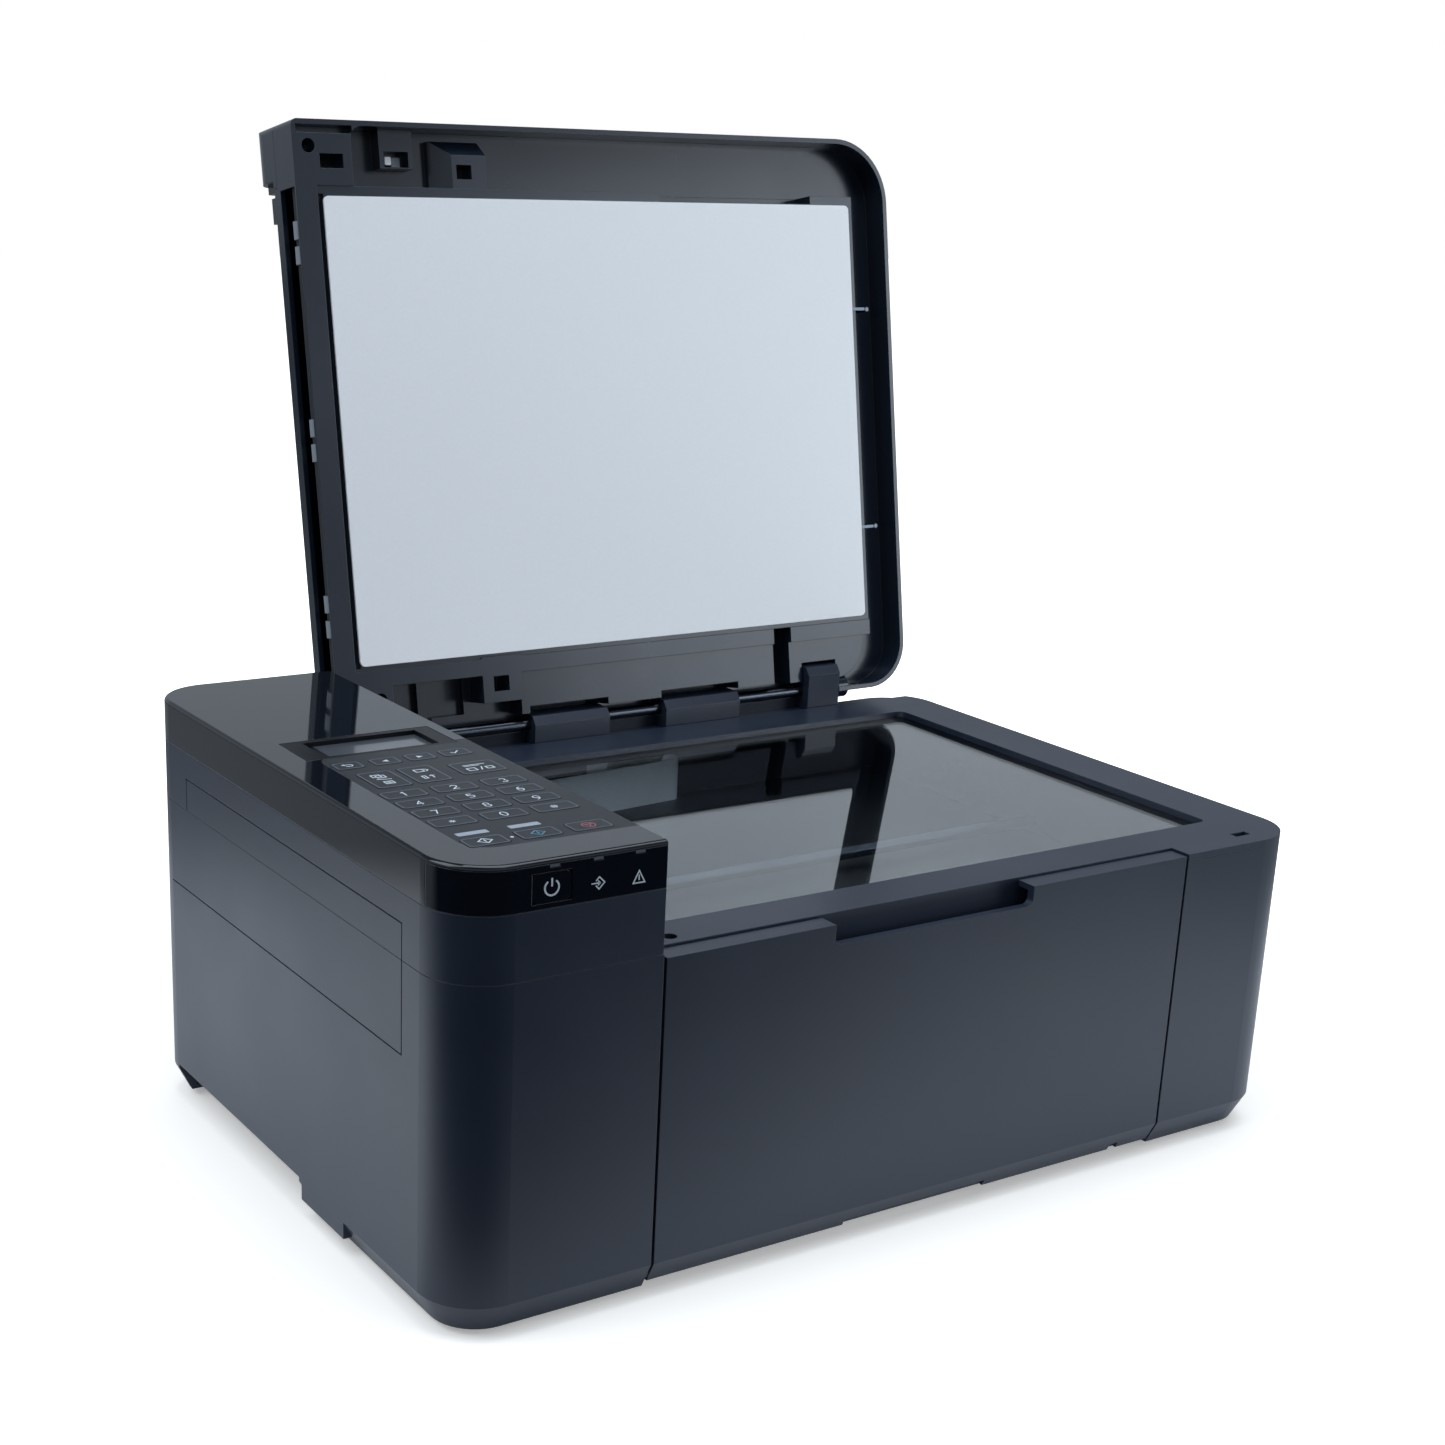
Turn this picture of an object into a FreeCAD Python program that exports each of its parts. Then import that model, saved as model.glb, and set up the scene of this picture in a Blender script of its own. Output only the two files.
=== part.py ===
"""Inkjet all-in-one printer, document cover standing open.

Millimetres, +X to the printer's right, +Y to its back, +Z up. The origin is on the table under the middle
of the 435 x 295 envelope. The document cover is modelled closed and then turned open about its hinge rod.
"""
import FreeCAD, Part
import Sketcher
import math
import os

SIZES = [
    # outer case
    ("body_width", 435), ("body_depth", 287.5), ("body_height", 142.6), ("corner_radius", 25),
    ("case_wall", 2.4), ("ground_gap", 3), ("bevel_height", 11.9), ("bevel_depth", 6), ("bezel_plate", 3),
    ("seam_rise", 0.8), ("seam_gap", 0.2), ("groove", 0.6), ("groove_deep", 0.5), ("trim_rise", 14.1),
    ("grip_top", 16.7), ("grip_depth", 14), ("skid_low", 7.5),
    # front cover
    ("door_gap", 1.3), ("door_thick", 3.7), ("door_axis_in", 6.5), ("door_axis_up", 9.5), ("door_low", 5.5),
    ("door_flange", 9.5), ("flange_thick", 2.6), ("door_pin", 3), ("pin_clearance", 0.06), ("pin_reach", 4),
    ("notch_depth", 8.4), ("notch_round", 3), ("tray_plate", 2.5), ("tray_margin", 8), ("guide_gap", 0.2),
    ("guide_base", 1.8), ("guide_wall", 2.5), ("guide_height", 12), ("guide_long", 60), ("guide_wide", 28),
    # operation panel
    ("block_tall", 26.2), ("panel_tall", 18.4), ("panel_plate", 2), ("panel_round", 1.8),
    ("front_thick", 2.4), ("key_gap", 0.25), ("key_proud", 0.12), ("key_flange", 0.9),
    ("key_flange_thick", 1.6), ("key_round", 1.6), ("dome_gap", 0.4), ("board_thick", 1.6),
    ("board_drop", 3.4), ("lcd_pocket", 1.2), ("power_wide", 16), ("power_tall", 11), ("power_rise", 7.8),
    # scanner
    ("window_round", 4), ("glass_thick", 3), ("tub_wall", 2.2), ("scan_wide", 26), ("scan_rise", 12),
    ("scan_gap", 0.3), ("scan_rod", 3), ("scan_rod_rise", 8), ("ribbon_tall", 22), ("ribbon_thick", 0.5),
    ("ledge_drop", 1.6),
    # document cover, closed
    ("lid_gap", 0.8), ("hinge_rise", 7), ("open_angle", 100.2), ("rod_radius", 3), ("lid_base_tall", 20.1),
    ("lid_shell_tall", 25.5), ("lid_front_round", 32), ("lid_back_round", 24), ("lid_left_round", 3),
    ("lid_edge_round", 8), ("rim", 2.4), ("moat_roof", 5.5), ("deck_step", 0.8), ("deck_skin", 2.8),
    ("pad_groove", 2.6), ("pad_thick", 1.2), ("block_clearance", 10.8), ("tall_extra", 4.8),
    ("slot_step", 1.4), ("slot_roof", 3), ("feed_rise", 8.1), ("feed_shaft", 2.5), ("feed_ring", 3.4),
    ("feed_ring_wide", 8), ("cover_gap", 0.4), ("cover_curve", 65), ("cover_pin", 1), ("shell_round", 12.5),
    ("tray_thick", 2.6),
    # print engine
    ("engine_side", 8), ("engine_floor", 12), ("rail_radius", 5), ("feed_roller_radius", 7), ("feed_axle", 4),
    ("exit_roller_radius", 5), ("exit_axle", 3), ("axle_clearance", 0.05), ("pulley_radius", 9),
    ("belt_thick", 1), ("belt_gap", 0.15), ("belt_wide", 5), ("carriage_wide", 60), ("bay_wall", 3),
    ("bay_rib", 2), ("bay_gap", 0.3),
    # rest
    ("foot_radius", 8), ("rear_bulge", 7.5), ("rear_gap", 0.6), ("rear_pin", 1),
    # across: how far in from the case's side or from the neighbour each edge lies
    ("column_first", 28.3), ("column_pitch", 21.8), ("key_spacing", 3.8), ("panel_margin", 7.4),
    ("door_set", 0.4), ("door_right_in", 73), ("notch_left_in", 80.3), ("notch_right_in", 90),
    ("lcd_left_in", 14.5), ("lcd_right_in", 5.3), ("power_in", 39.5), ("window_left_in", 13.2),
    ("window_right_in", 28.2), ("strip_in", 1.6), ("strip_wide", 8.1), ("tub_left_in", 59.5),
    ("tub_right_in", 25.5), ("scan_park", 4.8), ("lid_left_in", 2.7), ("lid_right_in", 4.5),
    ("moat_left_in", 29), ("deck_right_in", 23), ("pad_left_in", 13.1), ("pad_right_in", 3), ("feed_in", 4.6),
    ("cover_long", 80.1), ("cover_curve_in", 48.5), ("tray_left_in", 16.8), ("tray_right_in", 103.5),
    ("engine_left_in", 57.5), ("engine_right_in", 21.5), ("carriage_in", 6), ("rear_left_in", 97.5),
    ("rear_right_in", 117.5), ("guide_in", 18.65),
    # front to back, likewise
    ("trim_front_in", 39), ("trim_back_in", 44), ("front_strip", 21.5), ("key_front_in", 28.2),
    ("pad_gap", 25.7), ("pad_pitch", 13), ("function_gap", 21.1), ("nav_gap", 23.3), ("lcd_gap", 13.2),
    ("lcd_long", 28.5), ("window_front_in", 32.5), ("window_back_in", 35.6), ("tub_front_in", 27.5),
    ("tub_back_in", 5), ("scan_front_in", 8), ("scan_back_in", 30), ("ledge_long", 10), ("hinge_in", 1.2),
    ("lid_front_in", 1.5), ("lid_overhang", 1), ("deck_front_in", 29), ("deck_back_in", 29),
    ("pad_front_in", 4.6), ("pad_back_in", 10.4), ("slot_front_in", 0.5), ("slot_back_in", 7.5),
    ("cover_front_in", 28), ("cover_back_in", 29), ("tray_edge", 8.4), ("jamb_depth", 24), ("grip_start", 17),
    ("skid_front", 59), ("engine_front", 60), ("engine_back", 62), ("rail_y", 45), ("feed_y", 20),
    ("exit_y", 50), ("carriage_front", 12), ("carriage_back", 56),
    # up and down, likewise
    ("trim_drop", 36.6), ("tub_deep", 42.6), ("engine_drop", 10), ("rail_drop", 25), ("carriage_drop", 8),
    ("carriage_tall", 40), ("cartridge_rise", 5), ("roller_drop", 12), ("rear_low", 40),
    ("rear_top_in", 30.6),
]
# Edges that follow from the sizes: distances from the middle of the printer, or heights over the table.
EDGES = [
    ("half_width", "=body_width / 2"), ("last_column", "=column_first + column_pitch * 2"),
    ("key_wide", "=column_pitch - key_spacing"),
    ("panel_right", "=half_width - last_column - key_wide / 2 - panel_margin"),
    ("door_left", "=panel_right - door_set"), ("door_right", "=half_width - door_right_in"),
    ("notch_left", "=door_left - notch_left_in"), ("notch_right", "=door_right - notch_right_in"),
    ("lcd_left", "=half_width - lcd_left_in"), ("lcd_right", "=panel_right + lcd_right_in"),
    ("power_x", "=half_width - power_in"), ("window_left", "=panel_right - window_left_in"),
    ("window_right", "=half_width - window_right_in"), ("strip_left", "=panel_right - strip_in"),
    ("strip_right", "=strip_left - strip_wide"), ("tub_left", "=half_width - tub_left_in"),
    ("tub_right", "=half_width - tub_right_in"), ("scan_left", "=panel_right + scan_park"),
    ("lid_left", "=panel_right - lid_left_in"), ("lid_right", "=half_width - lid_right_in"),
    ("moat_left", "=lid_left - moat_left_in"), ("deck_right", "=lid_right - deck_right_in"),
    ("pad_left", "=lid_left - pad_left_in"), ("pad_right", "=deck_right - pad_right_in"),
    ("feed_x", "=lid_left - feed_in"), ("cover_right", "=lid_left - cover_long"),
    ("cover_curve_x", "=lid_left - cover_curve_in"), ("tray_left", "=cover_right - tray_left_in"),
    ("tray_hinge_x", "=lid_right - tray_right_in"), ("engine_left", "=half_width - engine_left_in"),
    ("engine_right", "=half_width - engine_right_in"), ("carriage_right", "=engine_right - carriage_in"),
    ("rear_left", "=half_width - rear_left_in"), ("rear_right", "=half_width - rear_right_in"),
    ("guide_out", "=(door_left + door_right) / 2 - guide_in"), ("body_front", "=(body_depth + rear_bulge) / 2"),
    ("body_back", "=body_depth - body_front"), ("trim_front", "=body_front - trim_front_in"),
    ("trim_back", "=body_back - trim_back_in"), ("front_start", "=body_front - front_strip"),
    ("function_row", "=key_front_in + pad_gap + pad_pitch * 3 + function_gap"),
    ("nav_row", "=function_row + nav_gap"), ("lcd_front", "=nav_row + lcd_gap - body_front"),
    ("lcd_back", "=lcd_front + lcd_long"), ("window_front", "=body_front - window_front_in"),
    ("window_back", "=body_back - window_back_in"), ("tub_front", "=body_front - tub_front_in"),
    ("tub_back", "=body_back - tub_back_in"), ("scan_front", "=tub_front - scan_front_in"),
    ("scan_back", "=tub_back - scan_back_in"), ("ledge_start", "=body_back - ledge_long"),
    ("hinge_back", "=body_back - hinge_in"), ("lid_front", "=body_front - lid_front_in"),
    ("lid_back", "=body_back + lid_overhang"), ("deck_front", "=lid_front - deck_front_in"),
    ("deck_back", "=lid_back - deck_back_in"), ("pad_front", "=deck_front - pad_front_in"),
    ("pad_back", "=deck_back - pad_back_in"), ("slot_front", "=deck_front - slot_front_in"),
    ("slot_back", "=deck_back - slot_back_in"), ("cover_front", "=lid_front - cover_front_in"),
    ("cover_back", "=lid_back - cover_back_in"), ("tray_front", "=cover_front - tray_edge"),
    ("tray_back", "=cover_back - tray_edge"), ("trim_low", "=body_height - trim_drop"),
    ("tub_floor", "=body_height - tub_deep"), ("engine_top", "=tub_floor - engine_drop"),
    ("rail_z", "=tub_floor - rail_drop"), ("carriage_high", "=tub_floor - carriage_drop"),
    ("carriage_low", "=carriage_high - carriage_tall"), ("cartridge_high", "=carriage_high + cartridge_rise"),
    ("roller_z", "=carriage_low - roller_drop"), ("rear_high", "=body_height - rear_top_in"),
]

doc = FreeCAD.newDocument("printer")
sheet = doc.addObject("Spreadsheet::Sheet", "dims")


class Dim:
    """A length held both as a sheet expression and as its present value."""

    def __init__(self, text, value):
        self.text = text
        self.value = value

    def __add__(self, other):
        other = dim(other)
        return Dim(f"({self.text} + {other.text})", self.value + other.value)

    def __sub__(self, other):
        other = dim(other)
        return Dim(f"({self.text} - {other.text})", self.value - other.value)

    def __mul__(self, other):
        other = dim(other)
        return Dim(f"({self.text} * {other.text})", self.value * other.value)

    def __truediv__(self, other):
        other = dim(other)
        return Dim(f"({self.text} / {other.text})", self.value / other.value)

    def __neg__(self):
        return Dim(f"(0 - {self.text})", -self.value)

    def __radd__(self, other):
        return dim(other) + self

    def __rsub__(self, other):
        return dim(other) - self

    def __rmul__(self, other):
        return dim(other) * self


def dim(value):
    """Any number as a Dim."""
    if isinstance(value, Dim):
        return value
    return Dim(f"({value})", float(value))


class Sizes:
    """The sheet's lengths by name."""


d = Sizes()
sheet_rows = [(alias, str(size)) for alias, size in SIZES] + EDGES
for row, (alias, entry) in enumerate(sheet_rows, start=1):
    sheet.set(f"A{row}", alias.replace("_", " "))
    sheet.set(f"B{row}", entry)
    sheet.setAlias(f"B{row}", alias)
doc.recompute()
for alias, entry in sheet_rows:
    setattr(d, alias, Dim(f"dims.{alias}", float(getattr(sheet, alias))))


def off(edge, *offsets):
    """Places measured from one edge, as a tuple."""
    return tuple(edge + offset for offset in offsets)


nodes = {}


def bind(item, prop, value):
    """Binds one property to its sheet expression."""
    item.setExpression(prop, dim(value).text)


def box(name, x, y, z):
    """A box from (low, high) pairs."""
    item = doc.addObject("Part::Box", name)
    for prop, axis, (low, high_end) in zip(("Length", "Width", "Height"), "xyz", (x, y, z)):
        bind(item, prop, dim(high_end) - low)
        bind(item, f"Placement.Base.{axis}", low)
    return item


TURNS = {
    "x": FreeCAD.Rotation(FreeCAD.Vector(0, 1, 0), 90),
    "y": FreeCAD.Rotation(FreeCAD.Vector(1, 0, 0), -90),
    "z": FreeCAD.Rotation(),
}


def rod(name, axis, span, centre, radius):
    """A cylinder along an axis; centre is given in the order of the two other axes."""
    item = doc.addObject("Part::Cylinder", name)
    item.Placement = FreeCAD.Placement(FreeCAD.Vector(), TURNS[axis])
    low, far = span
    bind(item, "Radius", radius)
    bind(item, "Height", dim(far) - low)
    others = iter(centre)
    for each in "xyz":
        bind(item, f"Placement.Base.{each}", low if each == axis else next(others))
    return item


def fuse(name, *items):
    """One solid from several that touch or overlap."""
    item = doc.addObject("Part::MultiFuse", name)
    item.Shapes = list(items)
    item.Refine = True
    return item


def cut(name, base, *tools):
    """Base less all tools."""
    item = doc.addObject("Part::Cut", name)
    item.Base = base
    item.Tool = tools[0] if len(tools) == 1 else fuse(f"{name}_tools", *tools)
    return item


def common(name, base, tool):
    """What two shapes share."""
    item = doc.addObject("Part::MultiCommon", name)
    item.Shapes = [base, tool]
    return item


def fillet(name, base, radius_of):
    """Rounds every edge for which radius_of(edge) gives a radius."""
    doc.recompute()
    picked = []
    for index, edge in enumerate(base.Shape.Edges, start=1):
        radius = radius_of(edge)
        if radius:
            picked.append((index, radius, radius))
    item = doc.addObject("Part::Fillet", name)
    item.Base = base
    item.Edges = picked
    return item


def along(edge, axis):
    """True for a straight edge along one axis."""
    if not isinstance(edge.Curve, Part.Line):
        return False
    start, end = (v.Point for v in edge.Vertexes)
    step = end - start
    return abs(abs(getattr(step, axis)) - step.Length) < 1e-6


def soft_along(axis, radius):
    """A rule for fillet: the straight edges along one axis get that radius."""
    return lambda edge: radius if along(edge, axis) else 0


def rounded(name, x, y, z, corners):
    """A box with upright edges rounded; corners maps 'lf', 'rf', 'lb', 'rb' to a radius."""
    plain = box(f"{name}_box", x, y, z)
    middle_x = (dim(x[0]).value + dim(x[1]).value) / 2
    middle_y = (dim(y[0]).value + dim(y[1]).value) / 2

    def radius_of(edge):
        if not along(edge, "z"):
            return 0
        point = edge.CenterOfMass
        corner = ("l" if point.x < middle_x else "r") + ("f" if point.y < middle_y else "b")
        return dim(corners.get(corner, 0)).value

    return fillet(name, plain, radius_of)


def all_round(radius):
    """The same radius at all four upright edges."""
    return dict.fromkeys(("lf", "rf", "lb", "rb"), radius)


def left_round(radius):
    """That radius at the two left upright edges."""
    return dict.fromkeys(("lf", "lb"), radius)


def same(first, second):
    """Equal to within a micrometre."""
    return abs(first - second) < 1e-3


def extruded(name, profile, axis, span):
    """A closed profile of (u, v) points carried along X (u=y, v=z) or Y (u=x, v=z), as a padded sketch."""
    body = doc.addObject("PartDesign::Body", name)
    sketch = body.newObject("Sketcher::SketchObject", f"{name}_sketch")
    role = {"x": "YZ_Plane", "y": "XZ_Plane"}[axis]
    plane = [f for f in body.Origin.OriginFeatures if f.Role == role][0]
    sketch.AttachmentSupport = [(plane, "")]
    sketch.MapMode = "FlatFace"
    low, far = (dim(v) for v in span)
    offset = -far if axis == "y" else low
    bind(sketch, "AttachmentOffset.Base.z", offset)
    doc.recompute()
    points = [(dim(u), dim(v)) for u, v in profile]
    count = len(points)
    for here in range(count):
        u, v = points[here]
        next_u, next_v = points[(here + 1) % count]
        start = FreeCAD.Vector(u.value, v.value, 0)
        end = FreeCAD.Vector(next_u.value, next_v.value, 0)
        sketch.addGeometry(Part.LineSegment(start, end), False)
    for here in range(count):
        sketch.addConstraint(Sketcher.Constraint("Coincident", here, 2, (here + 1) % count, 1))
    for here, (u, v) in enumerate(points):
        for kind, value in (("DistanceX", u), ("DistanceY", v)):
            index = sketch.addConstraint(Sketcher.Constraint(kind, -1, 1, here, 1, value.value))
            bind(sketch, f"Constraints[{index}]", value)
    pad = body.newObject("PartDesign::Pad", f"{name}_pad")
    pad.Profile = sketch
    bind(pad, "Length", far - low)
    doc.recompute()
    return body


def node(name, item):
    """Names a finished piece."""
    item.Label = name
    nodes[name] = item
    return item


def group(name, items):
    """Several equal small pieces kept together under one name."""
    item = doc.addObject("Part::Compound", name)
    item.Links = items
    return node(name, item)


# Levels and outline
OVER = 1
half = d.half_width
front = -d.body_front
back = d.body_back
wall = d.case_wall
bezel_top = d.body_height
plate_low = bezel_top - d.bezel_plate
bevel_top = d.ground_gap + d.bevel_height
floor_top = d.ground_gap + wall
left_seam = bezel_top + d.seam_rise
panel_low = left_seam + d.block_tall
panel_high = panel_low + d.panel_tall
trim_high = left_seam + d.trim_rise
power_z = panel_low + d.power_rise
lid_low = bezel_top + d.lid_gap
hinge_up = lid_low + d.hinge_rise
hinge = (d.hinge_back, hinge_up)
lid_split = lid_low + d.lid_base_tall
lid_top = lid_split + d.lid_shell_tall
moat_top = lid_split - d.moat_roof
deck_low = lid_low + d.deck_step
slot_low = lid_low + d.slot_step
slot_high = lid_split - d.slot_roof
feed_z = lid_low + d.feed_rise


def lid_node(name, item):
    """Names a piece of the document cover and turns it open about the hinge rod."""
    turn = FreeCAD.Rotation(FreeCAD.Vector(1, 0, 0), -d.open_angle.value)
    centre = FreeCAD.Vector(0, d.hinge_back.value, hinge_up.value)
    item.Placement = FreeCAD.Placement(centre - turn.multVec(centre), turn)
    return node(name, item)


def rounded_sketch(body, name, x, y, z, radius):
    """A level sketch of a rectangle with rounded corners, its sizes bound to the sheet."""
    sketch = body.newObject("Sketcher::SketchObject", name)
    plane = [f for f in body.Origin.OriginFeatures if f.Role == "XY_Plane"][0]
    sketch.AttachmentSupport = [(plane, "")]
    sketch.MapMode = "FlatFace"
    bind(sketch, "AttachmentOffset.Base.z", z)
    (x0, x1), (y0, y1) = ((dim(a), dim(b)) for a, b in (x, y))
    r = dim(radius)
    corners = [(x1 - r, y0 + r, -90), (x1 - r, y1 - r, 0), (x0 + r, y1 - r, 90), (x0 + r, y0 + r, 180)]
    for u, v, start in corners:
        circle = Part.Circle(FreeCAD.Vector(u.value, v.value, 0), FreeCAD.Vector(0, 0, 1), r.value)
        sketch.addGeometry(Part.ArcOfCircle(circle, math.radians(start), math.radians(start + 90)), False)
    for here in range(4):
        arc, following = sketch.Geometry[here], sketch.Geometry[(here + 1) % 4]
        sketch.addGeometry(Part.LineSegment(arc.EndPoint, following.StartPoint), False)
    for here in range(4):
        sketch.addConstraint(Sketcher.Constraint("Tangent", here, 2, 4 + here, 1))
        sketch.addConstraint(Sketcher.Constraint("Tangent", 4 + here, 2, (here + 1) % 4, 1))
    for here, (u, v, start) in enumerate(corners):
        for kind, value in (("DistanceX", u), ("DistanceY", v)):
            index = sketch.addConstraint(Sketcher.Constraint(kind, -1, 1, here, 3, value.value))
            bind(sketch, f"Constraints[{index}]", value)
    index = sketch.addConstraint(Sketcher.Constraint("Radius", 0, r.value))
    bind(sketch, f"Constraints[{index}]", r)
    return sketch


def bevelled_case():
    """The outer lower case: a bevelled foot lofted inwards, and upright walls above it."""
    body = doc.addObject("PartDesign::Body", "case_outside")
    inset = d.bevel_depth
    foot = rounded_sketch(body, "foot_outline", (inset - half, half - inset), (front + inset, back - inset),
                          d.ground_gap, d.corner_radius - inset)
    outline = rounded_sketch(body, "case_outline", (-half, half), (front, back), bevel_top, d.corner_radius)
    doc.recompute()
    loft = body.newObject("PartDesign::AdditiveLoft", "bevel")
    loft.Profile = foot
    loft.Sections = [outline]
    loft.Ruled = True
    doc.recompute()
    pad = body.newObject("PartDesign::Pad", "walls")
    pad.Profile = outline
    bind(pad, "Length", left_seam - bevel_top)
    doc.recompute()
    return body


# Lower case
door_axis_y = front + d.door_axis_in
case_top = plate_low - d.seam_gap
inside = rounded("case_inside", (wall - half, half - wall), (front + wall, back - wall),
                 (bevel_top, left_seam + OVER), all_round(d.corner_radius - wall))
inset_in = d.bevel_depth + wall
inside_foot = rounded("foot_inside", (inset_in - half, half - inset_in), (front + inset_in, back - inset_in),
                      (floor_top, bevel_top + OVER), all_round(d.corner_radius - inset_in))
door_hole = box("door_hole", (-d.door_left, d.door_right), (front - OVER, front + 16), (0, left_seam + OVER))
right_top = box("right_top", (-d.door_left, half + OVER), (front - OVER, back + OVER), (case_top, left_seam + OVER))
left_top = box("left_top", (-d.panel_right - wall - d.seam_gap, -d.door_left), (front + wall, back + OVER),
               (case_top, left_seam + OVER))
grip = box("grip", (-half - OVER, d.grip_depth - half), (-d.grip_start, back - 26), (0, d.grip_top))
inlet_x, inlet_z = half - 73.5, bevel_top + 11.1
inlet_hole = box("inlet_hole", off(inlet_x, -14, 14), (back - wall - OVER, back + OVER), off(inlet_z, -12, 12))
rear_hole = box("rear_hole", (-d.rear_left, d.rear_right), (back - wall - OVER, back + OVER),
                (d.rear_low - d.rear_gap, d.rear_high))
groove_span = (-half - OVER, d.groove_deep - half)
trim_edge = (-d.trim_front - d.groove, -d.trim_front)
trim_grooves = [
    box("trim_rise", groove_span, trim_edge, (d.trim_low, left_seam + OVER)),
    box("trim_run", groove_span, (-d.trim_front, back - d.corner_radius), (d.trim_low, d.trim_low + d.groove)),
]
case_outside = bevelled_case()
hollow_case = cut("hollow_case", case_outside, inside, inside_foot, door_hole, right_top, left_top, grip,
                  inlet_hole, rear_hole, *trim_grooves)
door_sides = {"left": (-d.door_left, -1), "right": (d.door_right, 1)}
door_frame = []
for name, (edge, way) in door_sides.items():
    for kind, thick, y_span, top in (
            ("jamb", wall, (front + OVER, front + d.jamb_depth), case_top),
            ("pivot_pad", dim(8), (door_axis_y - 4.5, door_axis_y + 12), d.door_axis_up + 8)):
        x_span = (edge, edge + thick) if way > 0 else (edge - thick, edge)
        door_frame.append(box(f"{kind}_{name}", x_span, y_span, (floor_top - OVER, top)))
grip_in = d.grip_depth + wall - half
grip_run = (-d.grip_start - wall, back - 25)
grip_high = d.grip_top + wall
grip_walls = [
    box("grip_wall", (d.grip_depth - half, grip_in), grip_run, (floor_top - OVER, grip_high)),
    box("grip_roof", (wall / 2 - half, grip_in), grip_run, (d.grip_top, grip_high)),
    box("grip_end", (inset_in - half, grip_in), (grip_run[0], -d.grip_start), (floor_top - OVER, grip_high)),
]
skid = box("skid", (-half, 8 - half), (-d.skid_front, -d.grip_start - wall), (d.skid_low, bevel_top + OVER))
board_x = 18 - half
lug_back, lug_top = back - 50, bezel_top - 32.6
board_posts = [rod(f"board_post_{i}", "x", (wall / 2 - half, board_x), place, 4)
               for i, place in enumerate(((-50, 30), (lug_back, 30), (-50, lug_top), (lug_back, lug_top)))]
door_pin_hole = rod("door_pin_hole", "x", (-d.door_left - d.pin_reach - OVER, d.door_right + d.pin_reach + OVER),
                    (door_axis_y, d.door_axis_up), d.door_pin + d.pin_clearance)
rear_posts = [box(f"rear_lug_{i}", (x, x + 6), (back - wall - 8, back - wall + 1), (d.rear_low - 8, d.rear_low + 6))
              for i, x in enumerate((-d.rear_left - 6.5, d.rear_right + 0.5))]
rear_axis = (back - 2, d.rear_low + 2.6)
rear_pin_hole = rod("rear_pin_hole", "x", (-d.rear_left - 4, d.rear_right + 4), rear_axis,
                    d.rear_pin + d.pin_clearance)
door_frame_fit = common("door_frame_fit", fuse("door_frame", *door_frame), case_outside)
case_whole = fuse("case_whole", hollow_case, door_frame_fit, *grip_walls, skid, *board_posts, *rear_posts)
node("lower_case", cut("lower_case", case_whole, door_pin_hole, rear_pin_hole))

# Upper case: scanner bezel, left block under the panel, hinge blocks
bezel_through = (plate_low - OVER, bezel_top + OVER)
bezel = rounded("bezel", (-d.panel_right - wall, half), (front, back), (plate_low, bezel_top),
                {"rf": d.corner_radius, "rb": d.corner_radius})
window = rounded("window", (-d.window_left, d.window_right), (-d.window_front, d.window_back), bezel_through,
                 all_round(d.window_round))
strip = box("strip_window", (-d.strip_left, -d.strip_right), (3 - d.window_front, d.window_back - 3), bezel_through)
ledge_top = bezel_top - d.ledge_drop
ledge = box("ledge", (-d.panel_right, half + OVER), (d.ledge_start, back + OVER), (ledge_top, bezel_top + OVER))
bezel_holes = [
    box("latch_hole_right", off(half, -33.8, -24.8), off(front, 9.2, 13.4), bezel_through),
    rod("latch_hole_left", "z", bezel_through, (14.2 - d.panel_right, front + 17.5), 3),
]
block_low = left_seam + d.seam_gap
block_top = panel_low - d.seam_gap
block_out = rounded("block_out", (-half, -d.panel_right), (front, back), (block_low, block_top),
                    left_round(d.corner_radius))
block_in = rounded("block_in", (wall - half, -d.panel_right - wall), (front + wall, back - wall),
                   (block_low - OVER, panel_low + OVER), left_round(d.corner_radius - wall))
block_grooves = [
    box("high_rise", groove_span, trim_edge, (block_low - OVER, trim_high)),
    box("high_run", groove_span, (trim_edge[0], d.trim_back), (trim_high, trim_high + d.groove)),
    box("high_fall", groove_span, (d.trim_back, d.trim_back + d.groove), (block_low - OVER, trim_high + d.groove)),
]
left_block = cut("left_block", block_out, block_in, *block_grooves)
block_wall = box("block_wall", (-d.panel_right - wall, -d.panel_right), (front + wall + d.seam_gap, back - wall),
                 (plate_low, block_top))
# Hinge blocks: left side, right side, height over the hinge rod and the cover's clearance round them.
LOW_BLOCK = (5.1, d.block_clearance)
TALL_BLOCK = (13.6, d.block_clearance + d.tall_extra)
left, right = -d.lid_left, d.lid_right
HINGE_BLOCKS = (
    (left + 36.5, left + 54.5, LOW_BLOCK),
    (-22, 21.5, LOW_BLOCK),
    (right - 157.5, right - 111.5, LOW_BLOCK),
    (right - 67, right - 46.5, TALL_BLOCK),
)
hinge_rear = d.hinge_back + 6
hinge_blocks = []
for number, (low, far, (rise, clearance)) in enumerate(HINGE_BLOCKS):
    top = hinge_up + rise
    foot = plate_low + 0.5
    profile = [(d.ledge_start + 1, foot), (d.ledge_start + 1, top - 4), (d.ledge_start + 4, top), (hinge_rear, top),
               (hinge_rear, hinge_up - 4), (back - 1, foot)]
    hinge_blocks.append(extruded(f"hinge_block_{number}", profile, "x", (low, far)))
lip_span = (left + 33.5, right - 46)
rear_lip = [
    box("rear_lip_wall", lip_span, (d.lid_back + 0.5, hinge_rear), (plate_low, hinge_up - 4.4)),
    box("rear_lip_floor", lip_span, (back - 3, hinge_rear), (plate_low, ledge_top)),
]
skirt_front = front + d.door_flange + 1
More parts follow.
